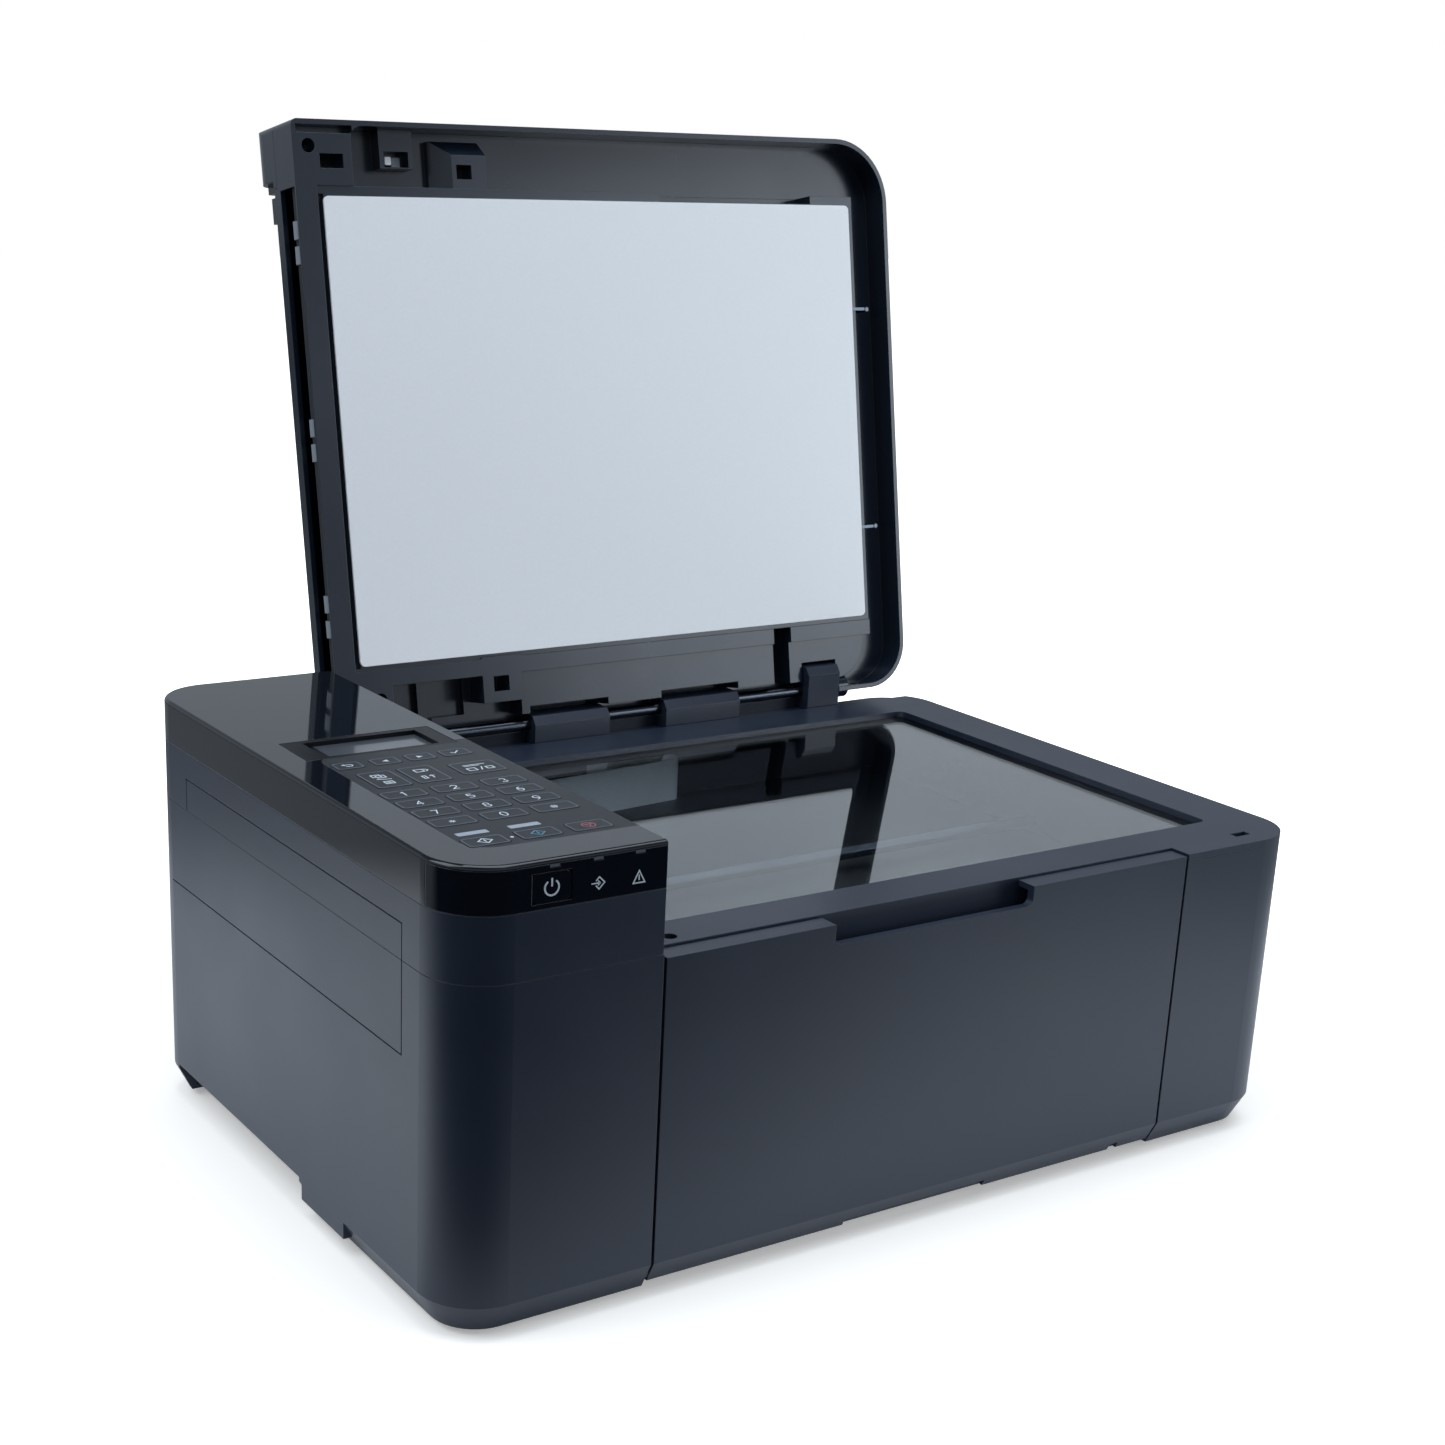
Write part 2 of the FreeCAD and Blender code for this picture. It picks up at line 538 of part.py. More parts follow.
skirt = box("bezel_skirt", (0.4 - d.door_left, d.door_right - 0.4), (skirt_front, skirt_front + 2),
            (plate_low - 9.6, plate_low + OVER))
rod_bore = rod("rod_bore", "x", (left - 3.5, right - 13), hinge, d.rod_radius + d.axle_clearance)
bezel_step = box("bezel_step", (-d.panel_right - wall - OVER, d.door_right), (front - OVER, skirt_front),
                 bezel_through)
bezel_open = cut("bezel_open", bezel, window, strip, ledge, bezel_step, *bezel_holes)
bezel_whole = fuse("bezel_whole", bezel_open, left_block, block_wall, skirt, *rear_lip, *hinge_blocks)
node("upper_case", cut("upper_case", bezel_whole, rod_bore))
node("hinge_rod", rod("hinge_rod", "x", (left + 14.5, right - 38.5), hinge, d.rod_radius))

# Platen glass and scanner
glass_low = plate_low - d.glass_thick
node("platen_glass", box("platen_glass", (0.5 - d.panel_right, d.tub_right + 2),
                         (-d.tub_front - 1.5, d.window_back + 6), (glass_low, plate_low)))
tub_out = box("tub_out", (-d.tub_left - d.tub_wall, d.tub_right + d.tub_wall),
              (-d.tub_front - d.tub_wall, d.tub_back + d.tub_wall), (d.tub_floor, plate_low))
tub_in = box("tub_in", (-d.tub_left, d.tub_right), (-d.tub_front, d.tub_back),
             (d.tub_floor + d.tub_wall, plate_low + OVER))
glass_seat = box("glass_seat", (-d.tub_left - 4, d.tub_right + 4), (-d.tub_front - 4, d.window_back + 6.2),
                 (glass_low, plate_low + OVER))
ribbon_slot = box("ribbon_slot", (2, 22), (d.tub_back - OVER, d.tub_back + d.tub_wall + OVER),
                  (d.tub_floor + 13, d.tub_floor + 23))
ribbon_hole = fillet("ribbon_hole", ribbon_slot, soft_along("y", 2))
node("scanner_tub", cut("scanner_tub", tub_out, tub_in, glass_seat, ribbon_hole))
scan_span = (-d.scan_left, d.scan_wide - d.scan_left)
scan_low = d.tub_floor + d.scan_rise
scan_rod_up = d.tub_floor + d.scan_rod_rise
scan_bar = box("scan_bar", scan_span, (-d.scan_front, d.scan_back), (scan_low, glass_low - d.scan_gap))
scan_lug = box("scan_lug", scan_span, (-8, 8), (scan_rod_up - 5, scan_low + OVER))
scan_bore = rod("scan_bore", "x", (scan_span[0] - OVER, scan_span[1] + OVER), (0, scan_rod_up),
                d.scan_rod + d.axle_clearance)
node("scan_carriage", cut("scan_carriage", fuse("scan_bar_lug", scan_bar, scan_lug), scan_bore))
node("scan_rail", rod("scan_rail", "x", (-d.tub_left, d.tub_right), (0, scan_rod_up), d.scan_rod))


def ribbon():
    """The flat cable on its edge: a slanted run, a tight bend and a run back along the tub's rear wall."""
    bend = 4.0
    rear = d.tub_back.value - 1.5
    centre_x, centre_y = 58.0, rear - bend
    start = FreeCAD.Vector(40 - d.tub_left.value, rear - 24, 0)
    run = FreeCAD.Vector(centre_x, centre_y - bend, 0) - start
    lean = math.atan2(run.y, run.x)
    steps = 14
    middle = [start]
    for step in range(steps + 1):
        angle = lean - math.pi / 2 + (math.pi - lean) * step / steps
        middle.append(FreeCAD.Vector(centre_x + bend * math.cos(angle), centre_y + bend * math.sin(angle), 0))
    middle.append(FreeCAD.Vector(10, rear, 0))
    left_side, right_side = [], []
    for index, point in enumerate(middle):
        before, after = middle[max(index - 1, 0)], middle[min(index + 1, len(middle) - 1)]
        way = (after - before).normalize()
        side = FreeCAD.Vector(-way.y, way.x, 0) * (d.ribbon_thick.value / 2)
        left_side.append(point + side)
        right_side.append(point - side)
    loop = left_side + right_side[::-1]
    face = Part.Face(Part.makePolygon(loop + loop[:1]))
    solid = face.extrude(FreeCAD.Vector(0, 0, d.ribbon_tall.value))
    solid.translate(FreeCAD.Vector(0, 0, d.tub_floor.value + d.tub_wall.value))
    return solid


flex = doc.addObject("Part::Feature", "scan_flex_cable")
flex.Shape = ribbon()
node("scan_flex_cable", flex)

# Operation panel
plate_under = panel_high - d.panel_plate
panel_out = rounded("panel_out", (-half, -d.panel_right), (front, back), (panel_low, panel_high),
                    left_round(d.corner_radius))


def panel_edge(edge):
    """The panel's top edges, but for the one beside the scanner, get the panel's rounding."""
    at_top = same(edge.BoundBox.ZMin, panel_high.value)
    by_scanner = same(edge.BoundBox.XMin, -d.panel_right.value)
    return d.panel_round.value if at_top and not by_scanner else 0


panel_soft = fillet("panel_soft", panel_out, panel_edge)
panel_in = rounded("panel_in", (d.front_thick - half, -d.panel_right - d.front_thick),
                   (front + d.front_thick, back - d.front_thick), (panel_low - OVER, plate_under),
                   left_round(d.corner_radius - d.front_thick))
panel_shell = cut("panel_shell", panel_soft, panel_in)
strip_span = (-half - OVER, OVER - d.panel_right)
strip_tall = (panel_low - OVER, plate_under)
front_zone = box("front_zone", strip_span, (front - OVER, -d.front_start), strip_tall)
front_room = box("front_room", strip_span, (front - OVER, d.seam_gap - d.front_start), strip_tall)
front_piece = common("front_piece", panel_shell, front_zone)


def power_spans(more):
    """The power button's sides and its bottom and top, grown by some play."""
    wide = d.power_wide / 2 + more
    tall = d.power_tall / 2 + more
    return (-d.power_x - wide, wide - d.power_x), (power_z - tall, power_z + tall)


hole_x, hole_z = power_spans(d.key_gap)
power_hole = box("power_hole", hole_x, (front - OVER, front + 4), hole_z)
LAMPS = off(-half, 40.8, 58.9, d.last_column + 4.8)
lamp_slots = [box(f"lamp_slot_{i}", (x - 2.2, x + 2.2), (front - OVER, front + 4), (plate_under - 1.4, panel_high))
              for i, x in enumerate(LAMPS)]
node("panel_front", cut("panel_front", front_piece, power_hole, *lamp_slots))

# Keys by row: the row's distance from the front, its first key's from the left, the pitch of its keys, then each
# key's name, its shift, how much narrower it is than the pitch, and its depth. Four keys share the last row.
nav_pitch = (d.column_pitch * 2 + 4.4) / 3
KEY_ROWS = [
    (d.key_front_in, d.column_first, d.column_pitch,
     [("black", -0.4, 4.8, 10), ("colour", -0.2, 4.8, 10), ("stop", -0.4, 4.8, 10)]),
    (d.function_row, d.column_first, d.column_pitch,
     [("function_one", 2.2, 6.8, 22), ("function_two", -2, 6.8, 22), ("menu", 0, 1.8, 16)]),
    (d.nav_row, d.column_first - 2.2, nav_pitch,
     [("back", 0, 4, 9), ("left", 0.4, 4, 9), ("right", 0, 4, 9), ("ok", 0, 3, 9)]),
]
PAD_ROWS = (("star", "0", "hash"), ("7", "8", "9"), ("4", "5", "6"), ("1", "2", "3"))
for number, names in enumerate(PAD_ROWS):
    row_y = d.key_front_in + d.pad_gap + number * d.pad_pitch
    pad_keys = [(name, 0, d.key_spacing, 9.5) for name in names]
    KEY_ROWS.append((row_y, d.column_first, d.column_pitch, pad_keys))
flange_low = plate_under - d.key_flange_thick
dome_top = flange_low - d.dome_gap
board_top = plate_under - d.board_drop
key_holes, domes = [], []


def key_spans(middle, wide, long, more):
    """A key's sides and its front and back, grown by some play."""
    reach_x, reach_y = wide / 2 + more, long / 2 + dim(more)
    return off(middle[0], -reach_x, reach_x), off(middle[1], -reach_y, reach_y)


for row_y, first_x, pitch, keys in KEY_ROWS:
    for column, (short, shift, narrower, long) in enumerate(keys):
        name = f"key_{short}"
        middle = (first_x + column * pitch + shift - half, front + row_y)
        size = (pitch - narrower, long)
        key_holes.append(rounded(f"{name}_hole", *key_spans(middle, *size, d.key_gap),
                                 (plate_under - OVER, panel_high + OVER), all_round(d.key_round + d.key_gap)))
        cap = rounded(f"{name}_cap", *key_spans(middle, *size, 0), (flange_low, panel_high + d.key_proud),
                      all_round(d.key_round))
        brim = box(f"{name}_brim", *key_spans(middle, *size, d.key_flange), (flange_low, plate_under))
        node(name, fuse(name, cap, brim))
        domes.append(rod(f"{name}_dome", "z", (board_top - 0.5, dome_top), middle, 2.5))


def lcd_box(name, sides, front_in, back_in, z):
    """A box inside the display's outline, in from its left and right, its front and its back."""
    left_in, right_in = sides
    span = (left_in - d.lcd_left, -d.lcd_right - right_in)
    return box(name, span, (d.lcd_front + front_in, d.lcd_back - back_in), z)


lcd_pocket = lcd_box("lcd_pocket_cut", (0, 0), 0, 0, (panel_high - d.lcd_pocket, panel_high + OVER))
lcd_hole = lcd_box("lcd_hole", (4, 4), 0.6, 1.6, (plate_under - OVER, panel_high + OVER))
post_left, post_right = 14.5 - half, -d.panel_right - 8.8
post_front, post_back = front + 18.5, d.lcd_front - 4
post_places = ((post_left, post_front), (post_right, post_front), (post_left, post_back), (post_right, post_back))
panel_posts = [rod(f"panel_post_{i}", "z", (board_top, plate_under + 0.5), place, 2.5)
               for i, place in enumerate(post_places)]
panel_plate = cut("panel_plate_cut", panel_shell, front_room, lcd_pocket, lcd_hole, *key_holes)
node("panel_housing", fuse("panel_housing", panel_plate, *panel_posts))
board = box("panel_board_sheet", (10.5 - half, -d.panel_right - 5.3), (front + 15.5, d.lcd_front - 1),
            (board_top - d.board_thick, board_top))
node("panel_board", fuse("panel_board", board, *domes))
frame_out = lcd_box("lcd_frame_out", (0.2, 0.2), 0.2, 0.2, (panel_high - d.lcd_pocket, panel_high - 0.1))
frame_well = lcd_box("lcd_frame_well", (4.2, 4.2), 0.8, 1.8, (plate_under - 3.2, panel_high - 0.6))
sight = lcd_box("lcd_sight", (9.5, 7.5), 3, 3.2, (plate_under - 5, panel_high + OVER))
well_room = lcd_box("lcd_well_room", (5.6, 5.6), 1.8, 2.8, (plate_under - 5, plate_under))
node("lcd_frame", cut("lcd_frame", fuse("lcd_frame_whole", frame_out, frame_well), sight, well_room))
node("lcd_window", lcd_box("lcd_window", (5.8, 5.8), 2, 3, (plate_under - 1.2, plate_under)))
brim_back = front + d.front_thick + 1.6
cap_x, cap_z = power_spans(0)
power_cap = box("power_cap", cap_x, (front + 0.2, brim_back), cap_z)
power_soft = fillet("power_soft", power_cap, soft_along("y", 2.5))
brim_x, brim_z = power_spans(1)
power_brim = box("power_brim", brim_x, (front + d.front_thick, brim_back), brim_z)
node("power_button", fuse("power_button", power_soft, power_brim))
lamp_bar = box("lamp_bar", (36.5 - half, -d.panel_right - 7.3), (front + d.front_thick, front + d.front_thick + 2),
               (plate_under - 1.8, plate_under))
lamp_tips = [box(f"lamp_tip_{i}", (x - 2, x + 2), (front + 0.3, front + d.front_thick + 1),
                 (plate_under - 1.2, plate_under)) for i, x in enumerate(LAMPS)]
node("lamp_guide", fuse("lamp_guide", lamp_bar, *lamp_tips))

# Front cover with its tray plate and paper guides
cover_top = bezel_top - d.seam_gap - 0.6
cover_inner = front + d.door_thick
cover_back = front + d.door_flange
low_inset = d.bevel_depth * (bevel_top - d.door_low) / d.bevel_height
lip_under = cover_top - d.flange_thick
cover_profile = [(front, bevel_top), (front, cover_top), (cover_back, cover_top), (cover_back, lip_under),
                 (cover_inner, lip_under), (cover_inner, d.door_axis_up + 10.5),
                 (door_axis_y + 3, d.door_axis_up + 4.5), (door_axis_y + 3, d.door_axis_up - 3.5),
                 (front + low_inset, d.door_low)]
cover_slab = extruded("cover_slab", cover_profile, "x", (d.door_gap - d.door_left, d.door_right - d.door_gap))
cover_pins = rod("cover_pins", "x", (-d.door_left - d.pin_reach, d.door_right + d.pin_reach),
                 (door_axis_y, d.door_axis_up), d.door_pin)
notch = box("finger_notch", (-d.notch_left, d.notch_right), (front - OVER, cover_back + OVER),
            (cover_top - d.notch_depth, cover_top + OVER))


def notch_edge(edge):
    """The notch's two lower edges get its rounding."""
    low_edge = along(edge, "y") and edge.CenterOfMass.z < cover_top.value - 1
    return d.notch_round.value if low_edge else 0


notch_soft = fillet("notch_soft", notch, notch_edge)
slot_reach = (front - OVER, front + low_inset + 1.5)
foot_slots = [box(f"cover_slot_{i}", span, slot_reach, (0, d.door_low + 3))
              for i, span in enumerate(((-31, 45), off(d.door_right, -25.5, -20.5)))]
node("front_cover", cut("front_cover", fuse("cover_and_pins", cover_slab, cover_pins), notch_soft, *foot_slots))
tray_low, tray_high = d.door_axis_up + 14, cover_top - 12
tray_face = cover_inner + d.tray_plate
node("paper_tray", box("paper_tray", (d.tray_margin - d.door_left, d.door_right - d.tray_margin),
                       (cover_inner, tray_face), (tray_low, tray_high)))
tray_middle = (d.door_right - d.door_left) / 2
seat = tray_face + d.guide_gap
guide_run = (tray_low + 20, tray_low + 20 + d.guide_long)
for name, side in (("paper_guide_left", -1), ("paper_guide_right", 1)):
    outer = tray_middle + side * d.guide_out
    inner = outer - side * d.guide_wide
    wall_in = outer - side * d.guide_wall
    foot_span = (outer, inner) if side < 0 else (inner, outer)
    fence_span = (outer, wall_in) if side < 0 else (wall_in, outer)
    foot = box(f"{name}_foot", foot_span, (seat, seat + d.guide_base), guide_run)
    fence = box(f"{name}_fence", fence_span, (seat, seat + d.guide_height), guide_run)
    node(name, fuse(name, foot, fence))

# Document cover's underside, modelled closed
lid_fore = -d.lid_front
lid_rear = d.lid_back
lid_corners = {"rf": d.lid_front_round, "rb": d.lid_back_round, **left_round(d.lid_left_round)}
lid_under = lid_low - OVER
block_up = moat_top + OVER
tray_block = rounded("lid_block", (left, right), (lid_fore, lid_rear), (lid_low, lid_split), lid_corners)
moat_out = rounded("moat_out", (-d.moat_left, d.lid_right - d.rim), (d.rim - d.lid_front, d.lid_back - d.rim),
                   (lid_under, moat_top),
                   {"rf": d.lid_front_round - d.rim, "rb": d.lid_back_round - d.rim, **left_round(6)})
deck = box("deck", (left - OVER, d.deck_right), (-d.deck_front, d.deck_back), (lid_low - 2, block_up))
moat = cut("moat", moat_out, deck)
skim = box("skim", (-d.pad_left - d.pad_groove, d.deck_right + OVER), (-d.deck_front, d.deck_back - 8),
           (lid_under, deck_low))
upper_pocket = box("upper_pocket", (left + 26.5, d.deck_right - 4), (4 - d.deck_front, d.deck_back - 12),
                   (deck_low + d.deck_skin, lid_split + OVER))
pad_groove = box("pad_groove_cut", (-d.pad_left - d.pad_groove, 0.4 - d.pad_left),
                 (-d.pad_front - 1, d.pad_back + 1), (lid_under, deck_low + 2.2))
slot_run = (-d.slot_front, d.slot_back)
feed_axis = (-d.feed_x, feed_z)
feed_room = box("feed_room", (left + wall, 0.2 - d.feed_x + d.feed_ring), slot_run, (slot_low, lid_split + OVER))
feed_slot = box("feed_slot", (left - OVER, left + wall + OVER), slot_run, (slot_low, slot_high))
feed_bore = rod("feed_bore", "y", (-d.slot_front - 2.2, d.slot_back + 2.2), feed_axis,
                d.feed_shaft + d.axle_clearance)
cavity_run = (d.deck_back + 1, lid_rear - 10)
cavity_tall = (lid_under, lid_split - 1.6)
edge_marks = [
    box("edge_groove", (left + 2, OVER - d.moat_left), off(lid_fore, d.rim, 6), (lid_under, lid_low + 6.6)),
    rod("peg_hole", "z", (lid_under, lid_low + 9), (left + 7.7, lid_fore + 11.7), 3.2),
    box("latch_slot", off(left, 12.9, 24.5), off(lid_fore, 15, 21.4), (lid_under, moat_top)),
    box("vent_slot", off(right, -143, -50), (-d.deck_front - OVER, -d.pad_front - 0.6), (lid_under, moat_top - 1)),
    rod("rear_peg_hole", "z", (lid_under, lid_low + 9), (left + 22.5, lid_rear - 23), 3),
    box("rear_cavity_one", off(left, 38.5, 48.5), cavity_run, cavity_tall),
    box("rear_cavity_two", off(left, 53.5, 73.5), cavity_run, cavity_tall),
    box("rear_channel", off(right, -87, -76), off(lid_rear, -37, -7), cavity_tall),
]
button_left, button_shoulder, button_right = off(left, 73.5, 81.5, 100)
button_front, button_brow, button_back = off(lid_fore, 6.5, 13.5, 30)
button_face = lid_low + 2.6
button_across = extruded(
    "button_across",
    [(button_left, block_up), (button_left, lid_low + 11.6), (button_shoulder, button_face),
     (button_right, button_face), (button_right, block_up)],
    "y", (button_front - 0.5, button_back))
button_along = extruded(
    "button_along",
    [(button_front, block_up), (button_front, lid_low + 10.6), (button_brow, button_face),
     (button_back, button_face), (button_back, block_up)],
    "x", (button_left - OVER, button_right + OVER))
lid_blocks = [
    box("socket_block", off(left, 46.2, 63.5), (lid_fore + d.rim - 1, lid_fore + 20), (lid_low + 6.6, block_up)),
    common("button_block", button_across, button_along),
    box("tab_block", off(left, 77.5, 99.5), off(lid_rear, -38, -15.5), (lid_low, block_up)),
    box("long_panel", (left + 99, right - 87), (d.deck_back - OVER, lid_rear - 8), (deck_low + 0.7, block_up)),
    rounded("arm_block", off(right, -76, -26), (d.deck_back - OVER, lid_rear - 7), (lid_low + 2.6, block_up),
            {"rb": 20}),
]
block_holes = [
    box("socket_hole", off(left, 48.5, 61), off(lid_fore, 12.3, 19.3), (lid_low + 5.6, moat_top - 1)),
    box("button_hole", off(left, 83.9, 91.9), off(lid_fore, 18, 24.5), (lid_low + 1.6, moat_top - 2)),
    box("tab_hole", off(left, 83.5, 92), off(lid_rear, -28.2, -20.8), (lid_under, moat_top - 2)),
]
arms = []
for number, arm_span in enumerate((off(left, 14.5, 31.5), off(right, -45, -38.5))):
    arms.append(rod(f"arm_barrel_{number}", "x", arm_span, hinge, 6))
    arms.append(box(f"arm_{number}", arm_span, (lid_rear - 21, d.hinge_back), (hinge_up - 2, block_up)))


def hinge_sweeps(name):
    """The room the cover leaves round each hinge block as it turns."""
    sweeps = []
    for number, (low, far, (rise, clearance)) in enumerate(HINGE_BLOCKS):
        sweeps.append(rod(f"{name}_{number}", "x", (low - 1, far + 1), hinge, clearance))
    return sweeps


arm_bore = rod("arm_bore", "x", (left + 13.5, right - 29), hinge, d.rod_radius + d.axle_clearance)
rod_room = rod("rod_room", "x", (left + 32, right - 43), hinge, d.rod_radius + 2)
rod_slot = box("rod_slot", (left + 32, right - 45.5), (d.hinge_back - d.rod_radius - 2, d.lid_back + OVER),
               (lid_under, hinge_up))
lid_tray = cut("lid_tray", tray_block, moat, skim, upper_pocket, pad_groove)
lid_whole = fuse("lid_whole", lid_tray, *lid_blocks, *arms)
lid_node("lid_base", cut("lid_base", lid_whole, feed_room, feed_slot, feed_bore, *edge_marks, *block_holes,
                         *hinge_sweeps("sweep"), arm_bore, rod_room, rod_slot))
pad_box = box("pad_box", (-d.pad_left, d.pad_right), (-d.pad_front, d.pad_back), (deck_low - d.pad_thick, deck_low))
lid_node("lid_pad", fillet("lid_pad", pad_box, soft_along("z", 2.5)))
feed_axle = rod("feed_axle", "y", (-d.slot_front - 2, d.slot_back + 2), feed_axis, d.feed_shaft)
ring_half = d.feed_ring_wide / 2
ring_places = (*off(-d.slot_front, 18.6, 29.7), dim(-9.4), dim(1.8), *off(d.slot_back, -32.9, -21.2))
rings = [rod(f"feed_ring_{i}", "y", (y - ring_half, y + ring_half), feed_axis, d.feed_ring)
         for i, y in enumerate(ring_places)]
lid_node("adf_roller", fuse("adf_roller", feed_axle, *rings))

# Document cover's top, feeder cover and document tray
shell_low = lid_split + d.seam_gap
shell_out = rounded("shell_out", (left, d.lid_right), (-d.lid_front, d.lid_back), (shell_low, lid_top), lid_corners)


def shell_edge(edge):
    """The shell's top edges, but for those at its left end, get the cover's rounding."""
    at_top = same(edge.BoundBox.ZMin, lid_top.value)
    past_left = edge.BoundBox.XMin > left.value + d.lid_left_round.value + 1
    return d.lid_edge_round.value if at_top and past_left else 0


shell_soft = fillet("shell_soft", shell_out, shell_edge)
cover_edge = 1.4 - d.cover_right
cover_low = shell_low + 0.2
cover_hinge = (-d.cover_right - 2.1, lid_top - 2.2)
shell_tall = (shell_low - OVER, lid_top - wall)
end_span = (left + d.shell_round, cover_edge + wall + OVER)
shell_in = [
    rounded("shell_in", (cover_edge + wall, right - wall), (lid_fore + wall, lid_rear - wall), shell_tall,
            {"rf": d.lid_front_round - wall, "rb": d.lid_back_round - wall}),
    box("shell_in_front", end_span, (wall - d.lid_front, -d.cover_front - d.cover_gap - wall), shell_tall),
    box("shell_in_back", end_span, (d.cover_back + d.cover_gap + wall, d.lid_back - wall), shell_tall),
]
shell_room = box("shell_room", (left - OVER, cover_edge),
                 (-d.cover_front - d.cover_gap, d.cover_back + d.cover_gap), (shell_low - OVER, lid_top + OVER))
end_box = box("end_box", (left - OVER, left + d.shell_round), (-d.lid_front - OVER, d.lid_back + OVER),
              (lid_top - d.shell_round, lid_top + OVER))
end_rod = rod("end_rod", "y", (-d.lid_front - 2, d.lid_back + 2), (left + d.shell_round, lid_top - d.shell_round),
              d.shell_round)
end_round = cut("end_round", end_box, end_rod)
side_notch = box("side_notch", (left - OVER, left + 6), (-d.cover_front - 3.6, -d.cover_front),
                 (lid_split + 4, lid_top + OVER))
cover_pin_hole = rod("cover_pin_hole", "y", (-d.cover_front - 2.4, d.cover_back + 2.4), cover_hinge,
                     d.cover_pin + d.pin_clearance)
pan = box("tray_pan", (-d.tray_left - 4, d.tray_hinge_x + 4), (-d.tray_front - 3, d.tray_back + 3),
          (lid_top - 6, lid_top - 1.2))
pan_room = box("pan_room", (-d.tray_left - 0.4, d.tray_hinge_x + 2.5), (-d.tray_front - 0.4, d.tray_back + 0.4),
               (lid_top - 3.2, lid_top + OVER))
shell_whole = fuse("shell_whole", cut("shell_hollow", shell_soft, *shell_in), pan)
lid_node("lid_shell", cut("lid_shell", shell_whole, shell_room, pan_room, end_round, side_notch, cover_pin_hole,
                          arm_bore, *hinge_sweeps("shell_sweep")))


def feeder_form(name, inset):
    """The feeder cover's outline, its left top swept round, moved in by inset on all sides but the bottom."""
    y_span = (inset - d.cover_front, d.cover_back - inset)
    low = cover_low - (OVER if inset else 0)
    room = box(f"{name}_room", (left + 0.4 + inset, -d.cover_right - inset), y_span, (low, lid_top - inset))
    crown = rod(f"{name}_crown", "y", y_span, (-d.cover_curve_x, lid_top - d.cover_curve), d.cover_curve - inset)
    rest = box(f"{name}_rest", (-d.cover_curve_x, -d.cover_right), y_span, (low - OVER, lid_top))
    return common(name, room, fuse(f"{name}_reach", crown, rest))


lift_lug = box("lift_lug", (left + 0.6, left + 9), off(-d.cover_front, 3.5, 15), (cover_low, cover_low + 8.1))
feeder_open = cut("feeder_open", fuse("feeder_whole", feeder_form("feeder_out", 0), lift_lug),
                  feeder_form("feeder_in", wall))
cover_ends = {"front": (-d.cover_front - 2.2, 1 - d.cover_front), "back": (d.cover_back - 1, d.cover_back + 2.2)}
cover_hinge_pins = [rod(f"cover_pin_{name}", "y", span, cover_hinge, d.cover_pin)
                    for name, span in cover_ends.items()]
lid_node("feeder_cover", fuse("feeder_cover", feeder_open, *cover_hinge_pins))
leaf_top = lid_top - 0.2
leaf_run = (-d.tray_front, d.tray_back)
leaf = box("tray_leaf", (-d.tray_left, d.tray_hinge_x), leaf_run, (leaf_top - d.tray_thick, leaf_top))
leaf_end = rod("tray_leaf_end", "y", leaf_run, (d.tray_hinge_x, leaf_top - d.tray_thick / 2), d.tray_thick / 2)
lid_node("document_tray", fuse("document_tray", leaf, leaf_end))

# Print engine
engine_out = (-d.engine_left - d.engine_side, d.engine_right + d.engine_side)
engine_run = (-d.engine_front, d.engine_back)
engine_base = box("engine_base_slab", engine_out, engine_run, (floor_top, floor_top + d.engine_floor))
sides = [
    box("engine_side_left", (engine_out[0], -d.engine_left), engine_run, (floor_top, d.engine_top)),
    box("engine_side_right", (d.engine_right, engine_out[1]), engine_run, (floor_top, d.engine_top)),
]
platen_run = (-32, 4)
platen_top = d.roller_z + 4
platen = box("platen_bar", (-d.engine_left - 1, d.engine_right + 1), platen_run,
             (floor_top + d.engine_floor - 1, platen_top))
ribs = [box(f"platen_rib_{i}", (26 * i - 104, 26 * i - 102), platen_run,
            (platen_top - 1, platen_top + 2)) for i in range(9)]
axle_hole = (engine_out[0] - OVER, engine_out[1] + OVER)
feed_hole = rod("feed_hole", "x", axle_hole, (d.feed_y, d.roller_z), d.feed_axle + d.axle_clearance)
exit_hole = rod("exit_hole", "x", axle_hole, (-d.exit_y, d.roller_z), d.exit_axle + d.axle_clearance)
engine_frame = fuse("engine_frame", engine_base, *sides, platen, *ribs)
node("print_engine_base", cut("print_engine_base", engine_frame, feed_hole, exit_hole))
pulley_low = engine_out[0] - 2 - d.belt_wide
for name, y, axle, radius in (("feed_roller", d.feed_y, d.feed_axle, d.feed_roller_radius),
                              ("exit_roller", -d.exit_y, d.exit_axle, d.exit_roller_radius)):
    axis = (y, d.roller_z)
    shaft = rod(f"{name}_axle", "x", (pulley_low, engine_out[1] + 2), axis, axle)
    tyre = rod(f"{name}_tyre", "x", (44 - d.engine_left, d.engine_right - 72), axis, radius)
    pulley = rod(f"{name}_pulley", "x", (pulley_low, pulley_low + d.belt_wide), axis, d.pulley_radius)
    node(name, fuse(name, shaft, tyre, pulley))


def belt_loop(name, radius):
    """The straight-sided loop round both pulleys at one radius."""
    span = (pulley_low + 0.5, pulley_low + d.belt_wide - 0.5)
    ends = [rod(f"{name}_end_{i}", "x", span, (y, d.roller_z), radius) for i, y in enumerate((d.feed_y, -d.exit_y))]
    middle = box(f"{name}_middle", span, (-d.exit_y, d.feed_y), (d.roller_z - radius, d.roller_z + radius))
    return fuse(name, *ends, middle)


